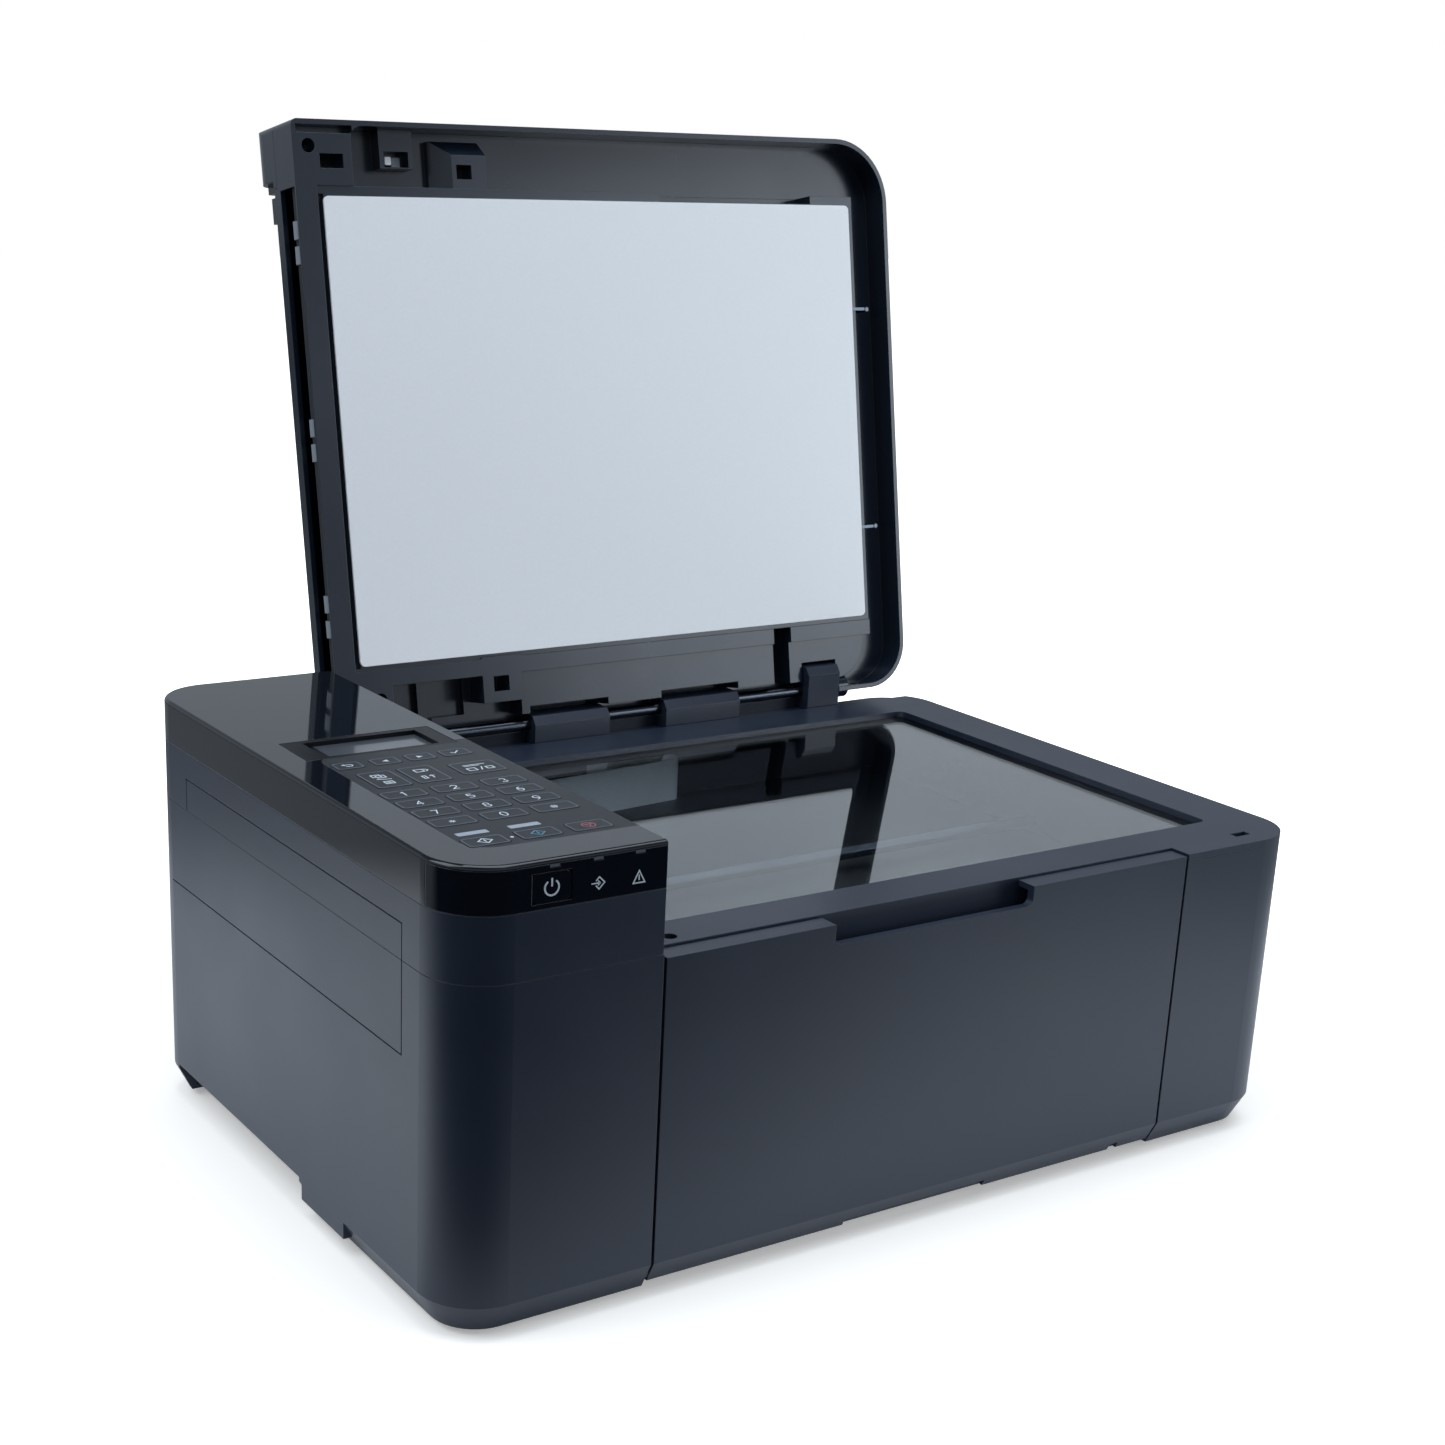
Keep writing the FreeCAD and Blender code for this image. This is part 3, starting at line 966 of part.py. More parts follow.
belt_in = d.pulley_radius + d.belt_gap
belt_outside = belt_loop("belt_outside", belt_in + d.belt_thick)
node("feed_belt", cut("feed_belt", belt_outside, belt_loop("belt_inside", belt_in)))
rail = (d.rail_y, d.rail_z)
node("carriage_rail", rod("carriage_rail", "x", (-d.engine_left, d.engine_right), rail, d.rail_radius))
carriage_left = d.carriage_right - d.carriage_wide
carriage_block = box("carriage_block", (carriage_left, d.carriage_right), (-d.carriage_front, d.carriage_back),
                     (d.carriage_low, d.carriage_high))
bay_wide = (d.carriage_wide - d.bay_wall * 2 - d.bay_rib) / 2
bay_front = d.bay_wall - d.carriage_front
bay_back = d.rail_y - 11
bay_floor = d.carriage_low + d.bay_wall
bays = []
for number, name in enumerate(("ink_cartridge_black", "ink_cartridge_colour")):
    bay_left = carriage_left + d.bay_wall + number * (bay_wide + d.bay_rib)
    bay_right = bay_left + bay_wide
    bays.append(box(f"bay_{number}", (bay_left, bay_right), (bay_front, bay_back),
                    (bay_floor, d.carriage_high + OVER)))
    node(name, box(name, (bay_left + d.bay_gap, bay_right - d.bay_gap),
                   (bay_front + d.bay_gap, bay_back - d.bay_gap), (bay_floor, d.cartridge_high)))
carriage_bore = rod("carriage_bore", "x", (carriage_left - OVER, d.carriage_right + OVER), rail,
                    d.rail_radius + d.axle_clearance)
node("print_carriage", cut("print_carriage", carriage_block, *bays, carriage_bore))

# Boards, power, rear cover, feet and screws
pcb = box("main_pcb", (board_x, board_x + d.board_thick), (-60, back - 40), (grip_high + 0.9, bezel_top - 24.6))
chips = [box(f"chip_{i}", (board_x + 1, board_x + 6), (y, y + 22), (z, z + 18))
         for i, (y, z) in enumerate(((-40, 40), (10, 70), (55, 36)))]
node("main_board", fuse("main_board", pcb, *chips))
supply = box("supply_case", (d.rear_right + 12, half - d.corner_radius - 2.5), (back - 60, back - inset_in),
             (floor_top, inlet_z + 20))
socket = box("supply_socket", off(inlet_x, -13, 13), (back - wall - 8, back - 0.5), off(inlet_z, -11, 11))
socket_well = box("supply_well", off(inlet_x, -10, 10), (back - 14, back + OVER), off(inlet_z, -8, 8))
socket_pins = [box(f"supply_pin_{i}", (x - 1, x + 1), (back - 16, back - 4), off(inlet_z, -1, 1))
               for i, x in enumerate(off(inlet_x, -4, 4))]
supply_open = cut("supply_open", fuse("supply_whole", supply, socket), socket_well)
node("power_supply", fuse("power_supply", supply_open, *socket_pins))
leaf_left, leaf_right = d.rear_gap - d.rear_left, d.rear_right - d.rear_gap
rear_leaf = box("rear_leaf", (leaf_left, leaf_right), (back - wall, back),
                (d.rear_low + 1, d.rear_high - d.rear_gap))
rear_bulge = box("rear_bulge", (leaf_left + 6, leaf_right - 6), (back - 0.5, back + d.rear_bulge),
                 (d.rear_low + 8, d.rear_high - 8))


def bulge_edge(edge):
    """The two long outer edges of the rear cover's bulge are rounded."""
    return 5 if edge.CenterOfMass.y > back.value + 1 and along(edge, "x") else 0


rear_bulge_soft = fillet("rear_bulge_soft", rear_bulge, bulge_edge)
rear_knuckles = [box(f"rear_knuckle_{i}", (x, x + 10), (rear_axis[0] - 1.4, back - wall + 1),
                     (rear_axis[1] - 1.5, rear_axis[1] + 1.6)) for i, x in enumerate((leaf_left, leaf_right - 10))]
rear_pin_spans = ((leaf_left - 3.2, leaf_left + 5), (leaf_right - 5, leaf_right + 3.2))
rear_pins = [rod(f"rear_pin_{i}", "x", span, rear_axis, d.rear_pin) for i, span in enumerate(rear_pin_spans)]
node("rear_cover", fuse("rear_cover", rear_leaf, rear_bulge_soft, *rear_knuckles, *rear_pins))
foot_x, foot_front, foot_back = half - 42.5, front + 35.5, back - 32
foot_places = ((-foot_x, foot_front), (foot_x, foot_front), (0, 0), (-foot_x, foot_back), (foot_x, foot_back))
group("feet", [rod(f"foot_{i}", "z", (0, d.ground_gap), place, d.foot_radius)
               for i, place in enumerate(foot_places)])
screws = []
screw_high = bezel_top - 17.6
screw_places = ((57.5 - half, screw_high), (-20, screw_high), (half - 97.5, screw_high), (half - 37.5, 60))
for number, place in enumerate(screw_places):
    screws.append(fuse(f"screw_{number}", rod(f"screw_head_{number}", "y", (back, back + 1.8), place, 3),
                       rod(f"screw_nub_{number}", "y", (back + 1, back + 1.9), place, 1.2)))
group("screws", screws)

doc.recompute()
problems = []
for name, item in nodes.items():
    shape = item.Shape
    if shape.isNull() or not shape.isValid() or not shape.Solids:
        problems.append(name)
for item in doc.Objects:
    if "Invalid" in item.State or "Error" in item.State:
        problems.append(f"{item.Name} {item.State}")
if problems:
    raise RuntimeError("not built: " + ", ".join(problems))
os.makedirs("parts", exist_ok=True)
for name, item in nodes.items():
    item.Shape.exportStep(f"parts/{name}.step")
print(len(nodes), "pieces")
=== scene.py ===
"""Looks of an inkjet all-in-one printer with its document lid open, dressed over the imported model."""

import math

import bmesh
import bpy
import numpy as np
from mathutils import Matrix, Vector


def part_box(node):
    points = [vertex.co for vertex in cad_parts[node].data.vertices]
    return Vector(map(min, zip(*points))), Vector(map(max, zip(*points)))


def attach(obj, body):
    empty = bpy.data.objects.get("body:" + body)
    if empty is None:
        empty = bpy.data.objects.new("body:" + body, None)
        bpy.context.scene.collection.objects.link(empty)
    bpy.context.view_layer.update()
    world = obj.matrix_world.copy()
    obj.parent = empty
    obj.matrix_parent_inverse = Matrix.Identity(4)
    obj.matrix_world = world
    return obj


MM = 0.001

# How far the open lid leans back from upright, and its hinge: depth and height in mm.
LEAN = math.radians(10.2)
LID_HINGE = (138.8, 150.4)
# Directions for flat marks, to the right, upwards and out, on the lid's underside, the keys and the front.
LID_AXES = {"across": (1, 0, 0), "up": (0, math.sin(LEAN), math.cos(LEAN)),
            "out": (0, -math.cos(LEAN), math.sin(LEAN))}
KEY_AXES = {"across": (1, 0, 0), "up": (0, 1, 0), "out": (0, 0, 1)}
FRONT_AXES = {"across": (1, 0, 0), "up": (0, 0, 1), "out": (0, -1, 0)}

# Satin film over the keys, which runs to the panel's right edge: colour, gloss and round corners in mm,
# and in metres its middle and its half sizes less the corners.
FILM, FILM_ROUGH = "#11161d", 0.5
FILM_CORNER = 12
FILM_MIDDLE = (-0.1545, -0.0602, 0.186)
FILM_HALF = (0.0326, 0.0553, 0.02)

# Refractive indices, and the part of a noise's grey range in which nearly all of it lies.
ABS_IOR, FILM_IOR, GLASS_IOR, ACRYLIC_IOR, DULL_IOR, COMMON_IOR = 1.53, 1.52, 1.52, 1.49, 1.25, 1.5
NOISE_LOW, NOISE_HIGH = 0.3, 0.7
# Polished plastic: the wipe marks on it and the radius of its edges, in mm.
WIPE_MM, POLISHED_EDGE_MM = 45, 0.3

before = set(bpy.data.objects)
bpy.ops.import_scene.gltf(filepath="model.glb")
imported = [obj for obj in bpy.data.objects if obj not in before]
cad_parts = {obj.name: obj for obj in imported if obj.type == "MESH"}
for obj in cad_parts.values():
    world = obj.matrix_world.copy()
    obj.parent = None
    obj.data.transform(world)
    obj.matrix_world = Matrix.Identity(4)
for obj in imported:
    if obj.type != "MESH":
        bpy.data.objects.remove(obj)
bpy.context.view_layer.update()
scene = bpy.context.scene


def linear(colour):
    """An sRGB hex colour as linear RGBA: each channel through the sRGB curve."""
    channels = np.array([int(colour[i:i + 2], 16) for i in (1, 3, 5)]) / 255
    light = np.where(channels <= 0.04045, channels / 12.92, ((channels + 0.055) / 1.055) ** 2.4)
    return (*light.tolist(), 1.0)


def dimmed(colour, factor):
    """An sRGB hex colour as linear RGBA, made brighter or darker by the factor."""
    return (*(np.array(linear(colour))[:3] * factor), 1.0)


def add(tree, kind, inputs=None, **settings):
    """One node: settings are its own properties, and inputs its sockets, each with a value or with the output
    that feeds it."""
    node = tree.nodes.new(kind)
    for name, value in settings.items():
        setattr(node, name, value)
    for socket, value in (inputs or {}).items():
        if isinstance(value, bpy.types.NodeSocket):
            tree.links.new(value, node.inputs[socket])
        else:
            node.inputs[socket].default_value = value
    return node


def object_place(tree):
    """Where a point lies in the object's own coordinates, in metres."""
    return add(tree, "ShaderNodeTexCoord").outputs["Object"]


def noise(tree, across_mm, detail):
    """The grey level of a noise in the object's coordinates, its lumps about across_mm wide."""
    sockets = {"Vector": object_place(tree), "Scale": 1 / (across_mm * MM), "Detail": detail}
    return add(tree, "ShaderNodeTexNoise", sockets).outputs["Fac"]


def spread(tree, value, low, high, start=0.0, end=1.0, **settings):
    """A value between start and end carried over to between low and high."""
    sockets = {"Value": value, "From Min": start, "From Max": end, "To Min": low, "To Max": high}
    return add(tree, "ShaderNodeMapRange", sockets, **settings).outputs["Result"]


def ramp(tree, level, dark, light, start=0.0, end=1.0):
    """A colour between dark and light, by where a grey level lies between start and end."""
    node = add(tree, "ShaderNodeValToRGB", {"Fac": level})
    for element, colour, position in zip(node.color_ramp.elements, (dark, light), (start, end)):
        element.position = position
        element.color = colour
    return node.outputs["Color"]


def vector(tree, operation, *operands):
    """The result of vector arithmetic: a number for LENGTH and DOT_PRODUCT, otherwise a vector."""
    node = add(tree, "ShaderNodeVectorMath", dict(enumerate(operands)), operation=operation)
    return node.outputs["Value" if operation in ("LENGTH", "DOT_PRODUCT") else "Vector"]


def number(tree, operation, *operands):
    """The result of arithmetic on numbers."""
    return add(tree, "ShaderNodeMath", dict(enumerate(operands)), operation=operation).outputs[0]


def blend(tree, factor, first, second, kind="FLOAT"):
    """The first value or colour where the factor is 0, the second where it is 1."""
    node = add(tree, "ShaderNodeMix", {"Factor": factor, "A": first, "B": second}, data_type=kind)
    return node.outputs["Result"]


def soft_edge(tree, radius_mm):
    """A normal that turns round edges as if they had this radius."""
    return add(tree, "ShaderNodeBevel", {"Radius": radius_mm * MM}, samples=4).outputs["Normal"]


def bumped(tree, height, strength, depth_mm, **normal):
    """A normal tilted by a grey height of depth_mm. Normal, where given, is the one that it starts from."""
    sockets = {"Height": height, "Strength": strength, "Distance": depth_mm * MM, **normal}
    return add(tree, "ShaderNodeBump", sockets).outputs["Normal"]


def principled(tree, colour, rough, ior, others=None):
    """The surface shader, with others as its further sockets."""
    sockets = {"Base Color": colour, "Roughness": rough, "IOR": ior, **(others or {})}
    return add(tree, "ShaderNodeBsdfPrincipled", sockets)


def finish(name, surface):
    """A material whose node tree ends in the shader that surface(tree) returns."""
    material = bpy.data.materials.new(name)
    material.use_nodes = True
    tree = material.node_tree
    tree.nodes.clear()
    add(tree, "ShaderNodeOutputMaterial", {"Surface": surface(tree).outputs[0]})
    return material


def moulded(colour, rough, grain_mm=0.9, depth_mm=0.012, flow_mm=70, edge_mm=0.35, tint_shift=0.06,
            gloss_shift=0.03):
    """Moulded plastic: a fine eroded grain on the tool gives a soft sheen, and broad flow marks
    change the colour and the gloss a little. The real grain is about 0.1 mm, too fine to show,
    so it is drawn at grain_mm. Moulded edges are round, so they catch the light."""

    def surface(tree):
        grain = noise(tree, grain_mm, detail=2.0)
        flow = noise(tree, flow_mm, detail=3.0)
        tint = ramp(tree, flow, dimmed(colour, 1 - tint_shift), dimmed(colour, 1 + tint_shift),
                    NOISE_LOW, NOISE_HIGH)
        gloss = spread(tree, flow, rough - gloss_shift, rough + gloss_shift, NOISE_LOW, NOISE_HIGH)
        normal = bumped(tree, grain, strength=0.35, depth_mm=depth_mm, Normal=soft_edge(tree, edge_mm))
        return principled(tree, tint, gloss, ABS_IOR, {"Normal": normal})
    return surface


def polished(colour, rough, peel_mm=6, depth_mm=0.02, smear=0.05):
    """Plastic from a polished tool, or a film: an even gloss, dulled in places where it was wiped,
    with a faint orange peel."""

    def surface(tree):
        peel = noise(tree, peel_mm, detail=1.0)
        wipe = noise(tree, WIPE_MM, detail=4.0)
        gloss = spread(tree, wipe, rough, rough + smear, NOISE_LOW, NOISE_HIGH)
        edge = soft_edge(tree, POLISHED_EDGE_MM)
        normal = bumped(tree, peel, strength=0.12, depth_mm=depth_mm, Normal=edge)
        return principled(tree, linear(colour), gloss, FILM_IOR, {"Normal": normal})
    return surface


def panel_film(tree):
    """Operation panel: polished plastic, near-mirror, with a satin film over the keys. The film is a
    rectangle with corners of FILM_CORNER: a point is on it where its distance past the rectangle that
    is smaller by the corners is under that."""
    apart = vector(tree, "SUBTRACT", object_place(tree), FILM_MIDDLE)
    past = vector(tree, "SUBTRACT", vector(tree, "ABSOLUTE", apart), FILM_HALF)
    reach = vector(tree, "LENGTH", vector(tree, "MAXIMUM", past, (0, 0, 0)))
    on_film = number(tree, "LESS_THAN", reach, FILM_CORNER * MM)
    tint = blend(tree, on_film, linear("#12161c"), linear(FILM), "RGBA")
    smear = spread(tree, noise(tree, WIPE_MM, detail=4.0), low=0.03, high=0.07)
    gloss = blend(tree, on_film, smear, FILM_ROUGH)
    return principled(tree, tint, gloss, FILM_IOR, {"Normal": soft_edge(tree, POLISHED_EDGE_MM)})


def dull_black(tree):
    """Black paint round the display: so dull and thin that it keeps little sheen, with a spray's grain."""
    grain_mm = 0.6
    gloss = spread(tree, noise(tree, grain_mm, detail=2.0), low=0.3, high=0.5)
    return principled(tree, linear("#0b0e13"), gloss, DULL_IOR)


def float_glass(tree):
    """Float glass: clear, flat and sharp, with the faint cold tint of its iron."""
    return principled(tree, linear("#eef3f5"), rough=0.0, ior=GLASS_IOR, others={"Transmission Weight": 1.0})


def white_film(tree):
    """White film on foam: an even satin white with a fine weave, whose foam shows as a faint waviness."""
    weave_mm, wave_mm, wave_depth_mm = 1.2, 18, 0.06
    tint = ramp(tree, noise(tree, weave_mm, detail=2.0), linear("#ecedee"), linear("#f3f4f5"))
    normal = bumped(tree, noise(tree, wave_mm, detail=2.0), strength=0.25, depth_mm=wave_depth_mm)
    return principled(tree, tint, rough=0.42, ior=COMMON_IOR, others={"Normal": normal})


def ground_steel(colour, pitch_mm=0.8, length_mm=12):
    """Ground steel bar: metal with fine lines round the bar, drawn pitch_mm apart so that they show."""

    def surface(tree):
        stretch = (1 / (pitch_mm * MM), 1 / (length_mm * MM), 1 / (length_mm * MM))
        along = add(tree, "ShaderNodeMapping", {"Vector": object_place(tree), "Scale": stretch})
        sockets = {"Vector": along.outputs["Vector"], "Scale": 1.0, "Detail": 2.0}
        lines = add(tree, "ShaderNodeTexNoise", sockets).outputs["Fac"]
        gloss = spread(tree, lines, low=0.15, high=0.3)
        return principled(tree, linear(colour), gloss, COMMON_IOR, {"Metallic": 1.0})
    return surface


def rubber(colour, rough=0.72, pit_mm=0.7, depth_mm=0.05):
    """Ground or moulded rubber: dull, with a pitted skin."""

    def surface(tree):
        normal = bumped(tree, noise(tree, pit_mm, detail=3.0), strength=0.5, depth_mm=depth_mm)
        return principled(tree, linear(colour), rough, COMMON_IOR, {"Normal": normal})
    return surface


def ringed_roller(tree):
    """Feed roller: pale rubber rings on a black axle, told apart by the distance from the roller's axis:
    the axle is 2.5 mm in radius and the rings 3.4 mm, and parting_mm lies between them."""
    parting_mm = 2.9
    low, high = (Vector(corner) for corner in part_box("adf_roller"))
    apart = vector(tree, "SUBTRACT", object_place(tree), (low + high) / 2)
    reach = vector(tree, "LENGTH", vector(tree, "CROSS_PRODUCT", apart, LID_AXES["up"]))
    ring = number(tree, "GREATER_THAN", reach, parting_mm * MM)
    tint = blend(tree, ring, linear("#1a1d22"), linear("#7f868e"), "RGBA")
    return principled(tree, tint, rough=0.55, ior=COMMON_IOR)


def flat_cable(tree):
    """Flat flexible cable: tinned conductors at 1 mm pitch show as fine stripes under a clear film,
    as bright as the sine of 2 pi z / pitch. Its pale tones are partly the cable's own and partly painted
    light:
    they are raised to stand in for the light that comes in through the glass."""
    pitch_mm = 1.0
    height = add(tree, "ShaderNodeSeparateXYZ", {"Vector": object_place(tree)}).outputs["Z"]
    stripe = number(tree, "SINE", number(tree, "MULTIPLY", height, 2 * math.pi / (pitch_mm * MM)))
    # Painted light: the cable's pale tones are raised to stand in for light through the glass.
    tint = ramp(tree, spread(tree, stripe, 0.0, 1.0, start=-1.0), linear("#dde3e8"), linear("#f2f5f7"))
    return principled(tree, tint, rough=0.28, ior=COMMON_IOR)


def tiled(tree, first, second, seam, tile_mm, seam_mm, **settings):
    """A colour of tiles, tile_mm wide and high, in two tones with seams between them."""
    sockets = {"Vector": object_place(tree), "Scale": 1.0, "Color1": linear(first), "Color2": linear(second),
               "Mortar": linear(seam), "Mortar Size": seam_mm * MM,
               "Brick Width": tile_mm[0] * MM, "Row Height": tile_mm[1] * MM}
    return add(tree, "ShaderNodeTexBrick", sockets, **settings).outputs["Color"]


def solder_mask(tree):
    """Circuit board: green solder mask over copper tracks 1.6 mm apart, with darker green between them."""
    tracks = tiled(tree, "#1f5a3c", "#245f42", "#184a31", tile_mm=(9, 1.6), seam_mm=0.25)
    return principled(tree, tracks, rough=0.35, ior=COMMON_IOR)


def liquid_crystal(tree):
    """Reflective liquid-crystal display with nothing shown: dark silver grey under a clear cover,
    its dots 0.6 mm apart as a faint grid."""
    dots = tiled(tree, "#42464b", "#3f4348", "#393d42", tile_mm=(0.6, 0.6), seam_mm=0.05, offset=0.0)
    cover = {"Coat Weight": 0.6, "Coat Roughness": 0.05}
    return principled(tree, dots, rough=0.3, ior=COMMON_IOR, others=cover)


def smoked_acrylic(tree):
    """Smoked acrylic light guide: a clear dark grey that lets a little light through."""
    clear = {"Transmission Weight": 0.35}
    return principled(tree, linear("#7b818b"), rough=0.12, ior=ACRYLIC_IOR, others=clear)


def printed(colour, speck_mm=0.5, thin=0.88):
    """Pad-printed ink: an even matt colour, thinner and darker in specks."""

    def surface(tree):
        tint = ramp(tree, noise(tree, speck_mm, detail=1.0), dimmed(colour, thin), linear(colour))
        return principled(tree, tint, rough=0.5, ior=COMMON_IOR)
    return surface


FINISHES = {
    "case_abs": finish("moulded_abs_case", moulded("#1e2634", 0.36)),
    "lid_abs": finish("moulded_abs_lid", moulded("#18202c", 0.21)),
    "panel_abs": finish("film_on_polished_abs_panel", panel_film),
    "panel_gloss": finish("polished_abs_front_strip", polished("#0e1219", 0.05)),
    "key_cap": finish("film_on_key", polished(FILM, FILM_ROUGH - 0.02)),
    "power_cap": finish("polished_abs_power_button", polished("#0e1219", 0.06)),
    "lamp_clear": finish("smoked_acrylic_lamp", smoked_acrylic),
    "lcd_surround": finish("painted_abs_display_frame", dull_black),
    "lcd_glass": finish("liquid_crystal_display", liquid_crystal),
    "platen": finish("float_glass_platen", float_glass),
    "white_sheet": finish("white_film_on_foam", white_film),
    "steel": finish("ground_steel", ground_steel("#4a4f56")),
    "foot_rubber": finish("moulded_rubber_foot", rubber("#15171a")),
    "belt_rubber": finish("moulded_rubber_belt", rubber("#131416")),
    "roller_rubber": finish("ground_rubber_roller", rubber("#1b1d20")),
    "feed_roller_grey": finish("ground_rubber_feed_roller", ringed_roller),
    "inner_abs": finish("moulded_abs_inside", moulded("#090b0e", 0.4)),
    "tray_abs": finish("moulded_abs_tray", moulded("#1b1f25", 0.45)),
    "board_green": finish("solder_mask_board", solder_mask),
    "ribbon": finish("flat_flexible_cable", flat_cable),
    "cartridge_shell": finish("moulded_polypropylene_cartridge", moulded("#17191d", 0.5)),
    "supply_case": finish("moulded_abs_supply", moulded("#1a1c20", 0.5)),
}
WHITE_INK = finish("pad_printed_white", printed("#c4ccd2"))
CHIP_INK = finish("pad_printed_light_grey", printed("#8f98a1"))
BLUE_INK = finish("pad_printed_blue", printed("#4a8196"))
RED_INK = finish("pad_printed_red", printed("#94505a"))
OUTLINE_INK = finish("pad_printed_grey", printed("#4a525b"))
CLIP_STEEL = finish("pressed_steel_clip", ground_steel("#50565d"))
RAIL_STEEL = finish("oiled_steel_rail", ground_steel("#4a4f56"))
SENSOR_GREY = finish("moulded_abs_sensor", moulded("#5d656c", 0.4))

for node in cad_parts.values():
    node.data.materials[0] = FINISHES[node.data.materials[0].name]
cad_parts["scan_rail"].data.materials[0] = RAIL_STEEL


def arc(centre, radii, start, stop, count=28):
    """An ellipse's arc: centre + (rx cos t, ry sin t), with t from start to stop in degrees."""
    turn = np.radians(np.linspace(start, stop, count))
    return np.column_stack((centre[0] + radii[0] * np.cos(turn), centre[1] + radii[1] * np.sin(turn)))


def disc(radius):
    """A full circle's outline about 0, 0, its last point short of the first."""
    return arc((0, 0), (radius, radius), 0, 345, 24)


def line(*points):
    """Straight runs through the points."""
    return np.array(points, float)


def ribbon(path, width):
    """A printed line: a rectangle carried along the path. Each path point p gives p + n w/2 and p - n w/2,
    n being across the run, and longer at a corner by one over the cosine of half its turn, at heights 0
    and 1."""
    closed = np.allclose(path[0], path[-1])
    path = path[:-1] if closed else path
    run = np.roll(path, -1, 0) - path
    run = run / np.linalg.norm(run, axis=1, keepdims=True)
    before = np.roll(run, 1, 0)
    if not closed:
        run[-1] = before[-1]
        before[0] = run[0]
    middle = run + before
    middle = middle / np.linalg.norm(middle, axis=1, keepdims=True)
    sharpest = 0.4  # Least cosine, so that no corner runs far out.
    reach = width / 2 / np.maximum(np.sum(middle * run, 1, keepdims=True), sharpest)
    side = np.column_stack((-middle[:, 1], middle[:, 0])) * reach
    count = len(path)
    flat = np.stack((path - side, path + side, path + side, path - side), 1)
    height = np.broadcast_to([0.0, 0.0, 1.0, 1.0], (count, 4))
    points = np.dstack((flat, height)).reshape(-1, 3)
    ring = np.arange(count if closed else count - 1)[:, None]
    corner = np.arange(4)[None, :]
    after = (ring + 1) % count
    turned = (corner + 1) % 4
    sides = np.stack((ring * 4 + corner, ring * 4 + turned, after * 4 + turned, after * 4 + corner), -1)
    faces = sides.reshape(-1, 4).tolist()
    if not closed:
        faces += [[3, 2, 1, 0], (np.arange(4) + (count - 1) * 4).tolist()]
    return points, faces


def chip(outline):
    """A printed patch: the outline at heights 0 and 1, with a wall between them."""
    count = len(outline)
    points = np.vstack([np.column_stack((outline, np.full(count, height))) for height in (0.0, 1.0)])
    index = np.arange(count)
    after = (index + 1) % count
    walls = np.column_stack((index, after, after + count, index + count)).tolist()
    return points, [index[::-1].tolist(), *walls, (index + count).tolist()]


def rounded_patch(wide, high, radius):
    """The outline of a rectangle with round corners: four quarter circles."""
    corners = ((1, 1, 0), (-1, 1, 90), (-1, -1, 180), (1, -1, 270))
    half_wide, half_high = wide / 2 - radius, high / 2 - radius
    return np.vstack([arc((sx * half_wide, sy * half_high), (radius, radius), turn, turn + 90, count=7)
                      for sx, sy, turn in corners])


def printed_piece(name, body, ink, shapes, origin, across, up, out, slot, thick=0.06, sink=0.05):
    """One flat piece on a body, such as a printed mark: the shapes' points (u, v, h) in mm go to
    origin + u across + v up + (h (thick + sink) - sink) out."""
    points, faces, start = [], [], 0
    for flat, sides in shapes:
        points.append(flat)
        faces += [[i + start for i in side] for side in sides]
        start += len(flat)
    flat = np.vstack(points)
    axes = np.array((across, up, out), float)
    level = flat[:, 2:3] * (thick + sink) - sink
    placed = np.array(origin, float) + flat[:, :2] @ axes[:2] + level * axes[2]
    mesh = bpy.data.meshes.new(name)
    mesh.from_pydata((placed * MM).tolist(), [], faces)
    shell = bmesh.new()
    shell.from_mesh(mesh)
    bmesh.ops.recalc_face_normals(shell, faces=shell.faces)
    shell.to_mesh(mesh)
    shell.free()
    mesh.materials.append(ink)
    piece = bpy.data.objects.new(name, mesh)
    scene.collection.objects.link(piece)
    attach(piece, body)


def strokes(*paths, width=0.5):
    """Each path as a printed line."""
    return [ribbon(path, width) for path in paths]


def in_mm(box):
    """A box's low and high corners, from metres to mm."""
    return [np.array(corner) / MM for corner in box]


# Numerals in a cell one high, middle at 0, 0: each a list of strokes.
LOOP = arc((0, -0.2), (0.28, 0.3), 0, 360)
TAIL = arc((0.26, -0.2), (0.54, 0.7), 180, 98)
HOOK = arc((0, 0.21), (0.29, 0.29), 165, -35)
BOWL = arc((-0.01, -0.18), (0.3, 0.31), 120, -145)
NUMERALS = {
    "0": [arc((0, 0), (0.3, 0.5), 0, 360)],
    "1": [line((-0.18, 0.3), (0.05, 0.5), (0.05, -0.5))],
    "2": [np.vstack((HOOK, line((-0.29, -0.48), (0.31, -0.48))))],
    "3": [arc((-0.02, 0.25), (0.26, 0.25), 150, -90), arc((-0.02, -0.24), (0.3, 0.26), 90, -150)],
    "4": [line((0.12, -0.5), (0.12, 0.46), (-0.3, -0.2), (0.32, -0.2))],
    "5": [np.vstack((line((0.26, 0.48), (-0.2, 0.48), (-0.24, 0.06)), BOWL))],
    "6": [LOOP, TAIL],
    "7": [line((-0.29, 0.48), (0.29, 0.48), (-0.08, -0.5))],
    "8": [arc((0, 0.25), (0.24, 0.24), 0, 360), arc((0, -0.24), (0.29, 0.27), 0, 360)],
    "9": [-LOOP, -TAIL],
    "star": [line((0, -0.3), (0, 0.3)), line((-0.26, -0.15), (0.26, 0.15)),
             line((-0.26, 0.15), (0.26, -0.15))],
    "hash": [line((-0.16, -0.36), (-0.06, 0.36)), line((0.08, -0.36), (0.18, 0.36)),
             line((-0.3, 0.13), (0.34, 0.13)), line((-0.34, -0.13), (0.3, -0.13))],
}
NUMERAL_HIGH = 4.4

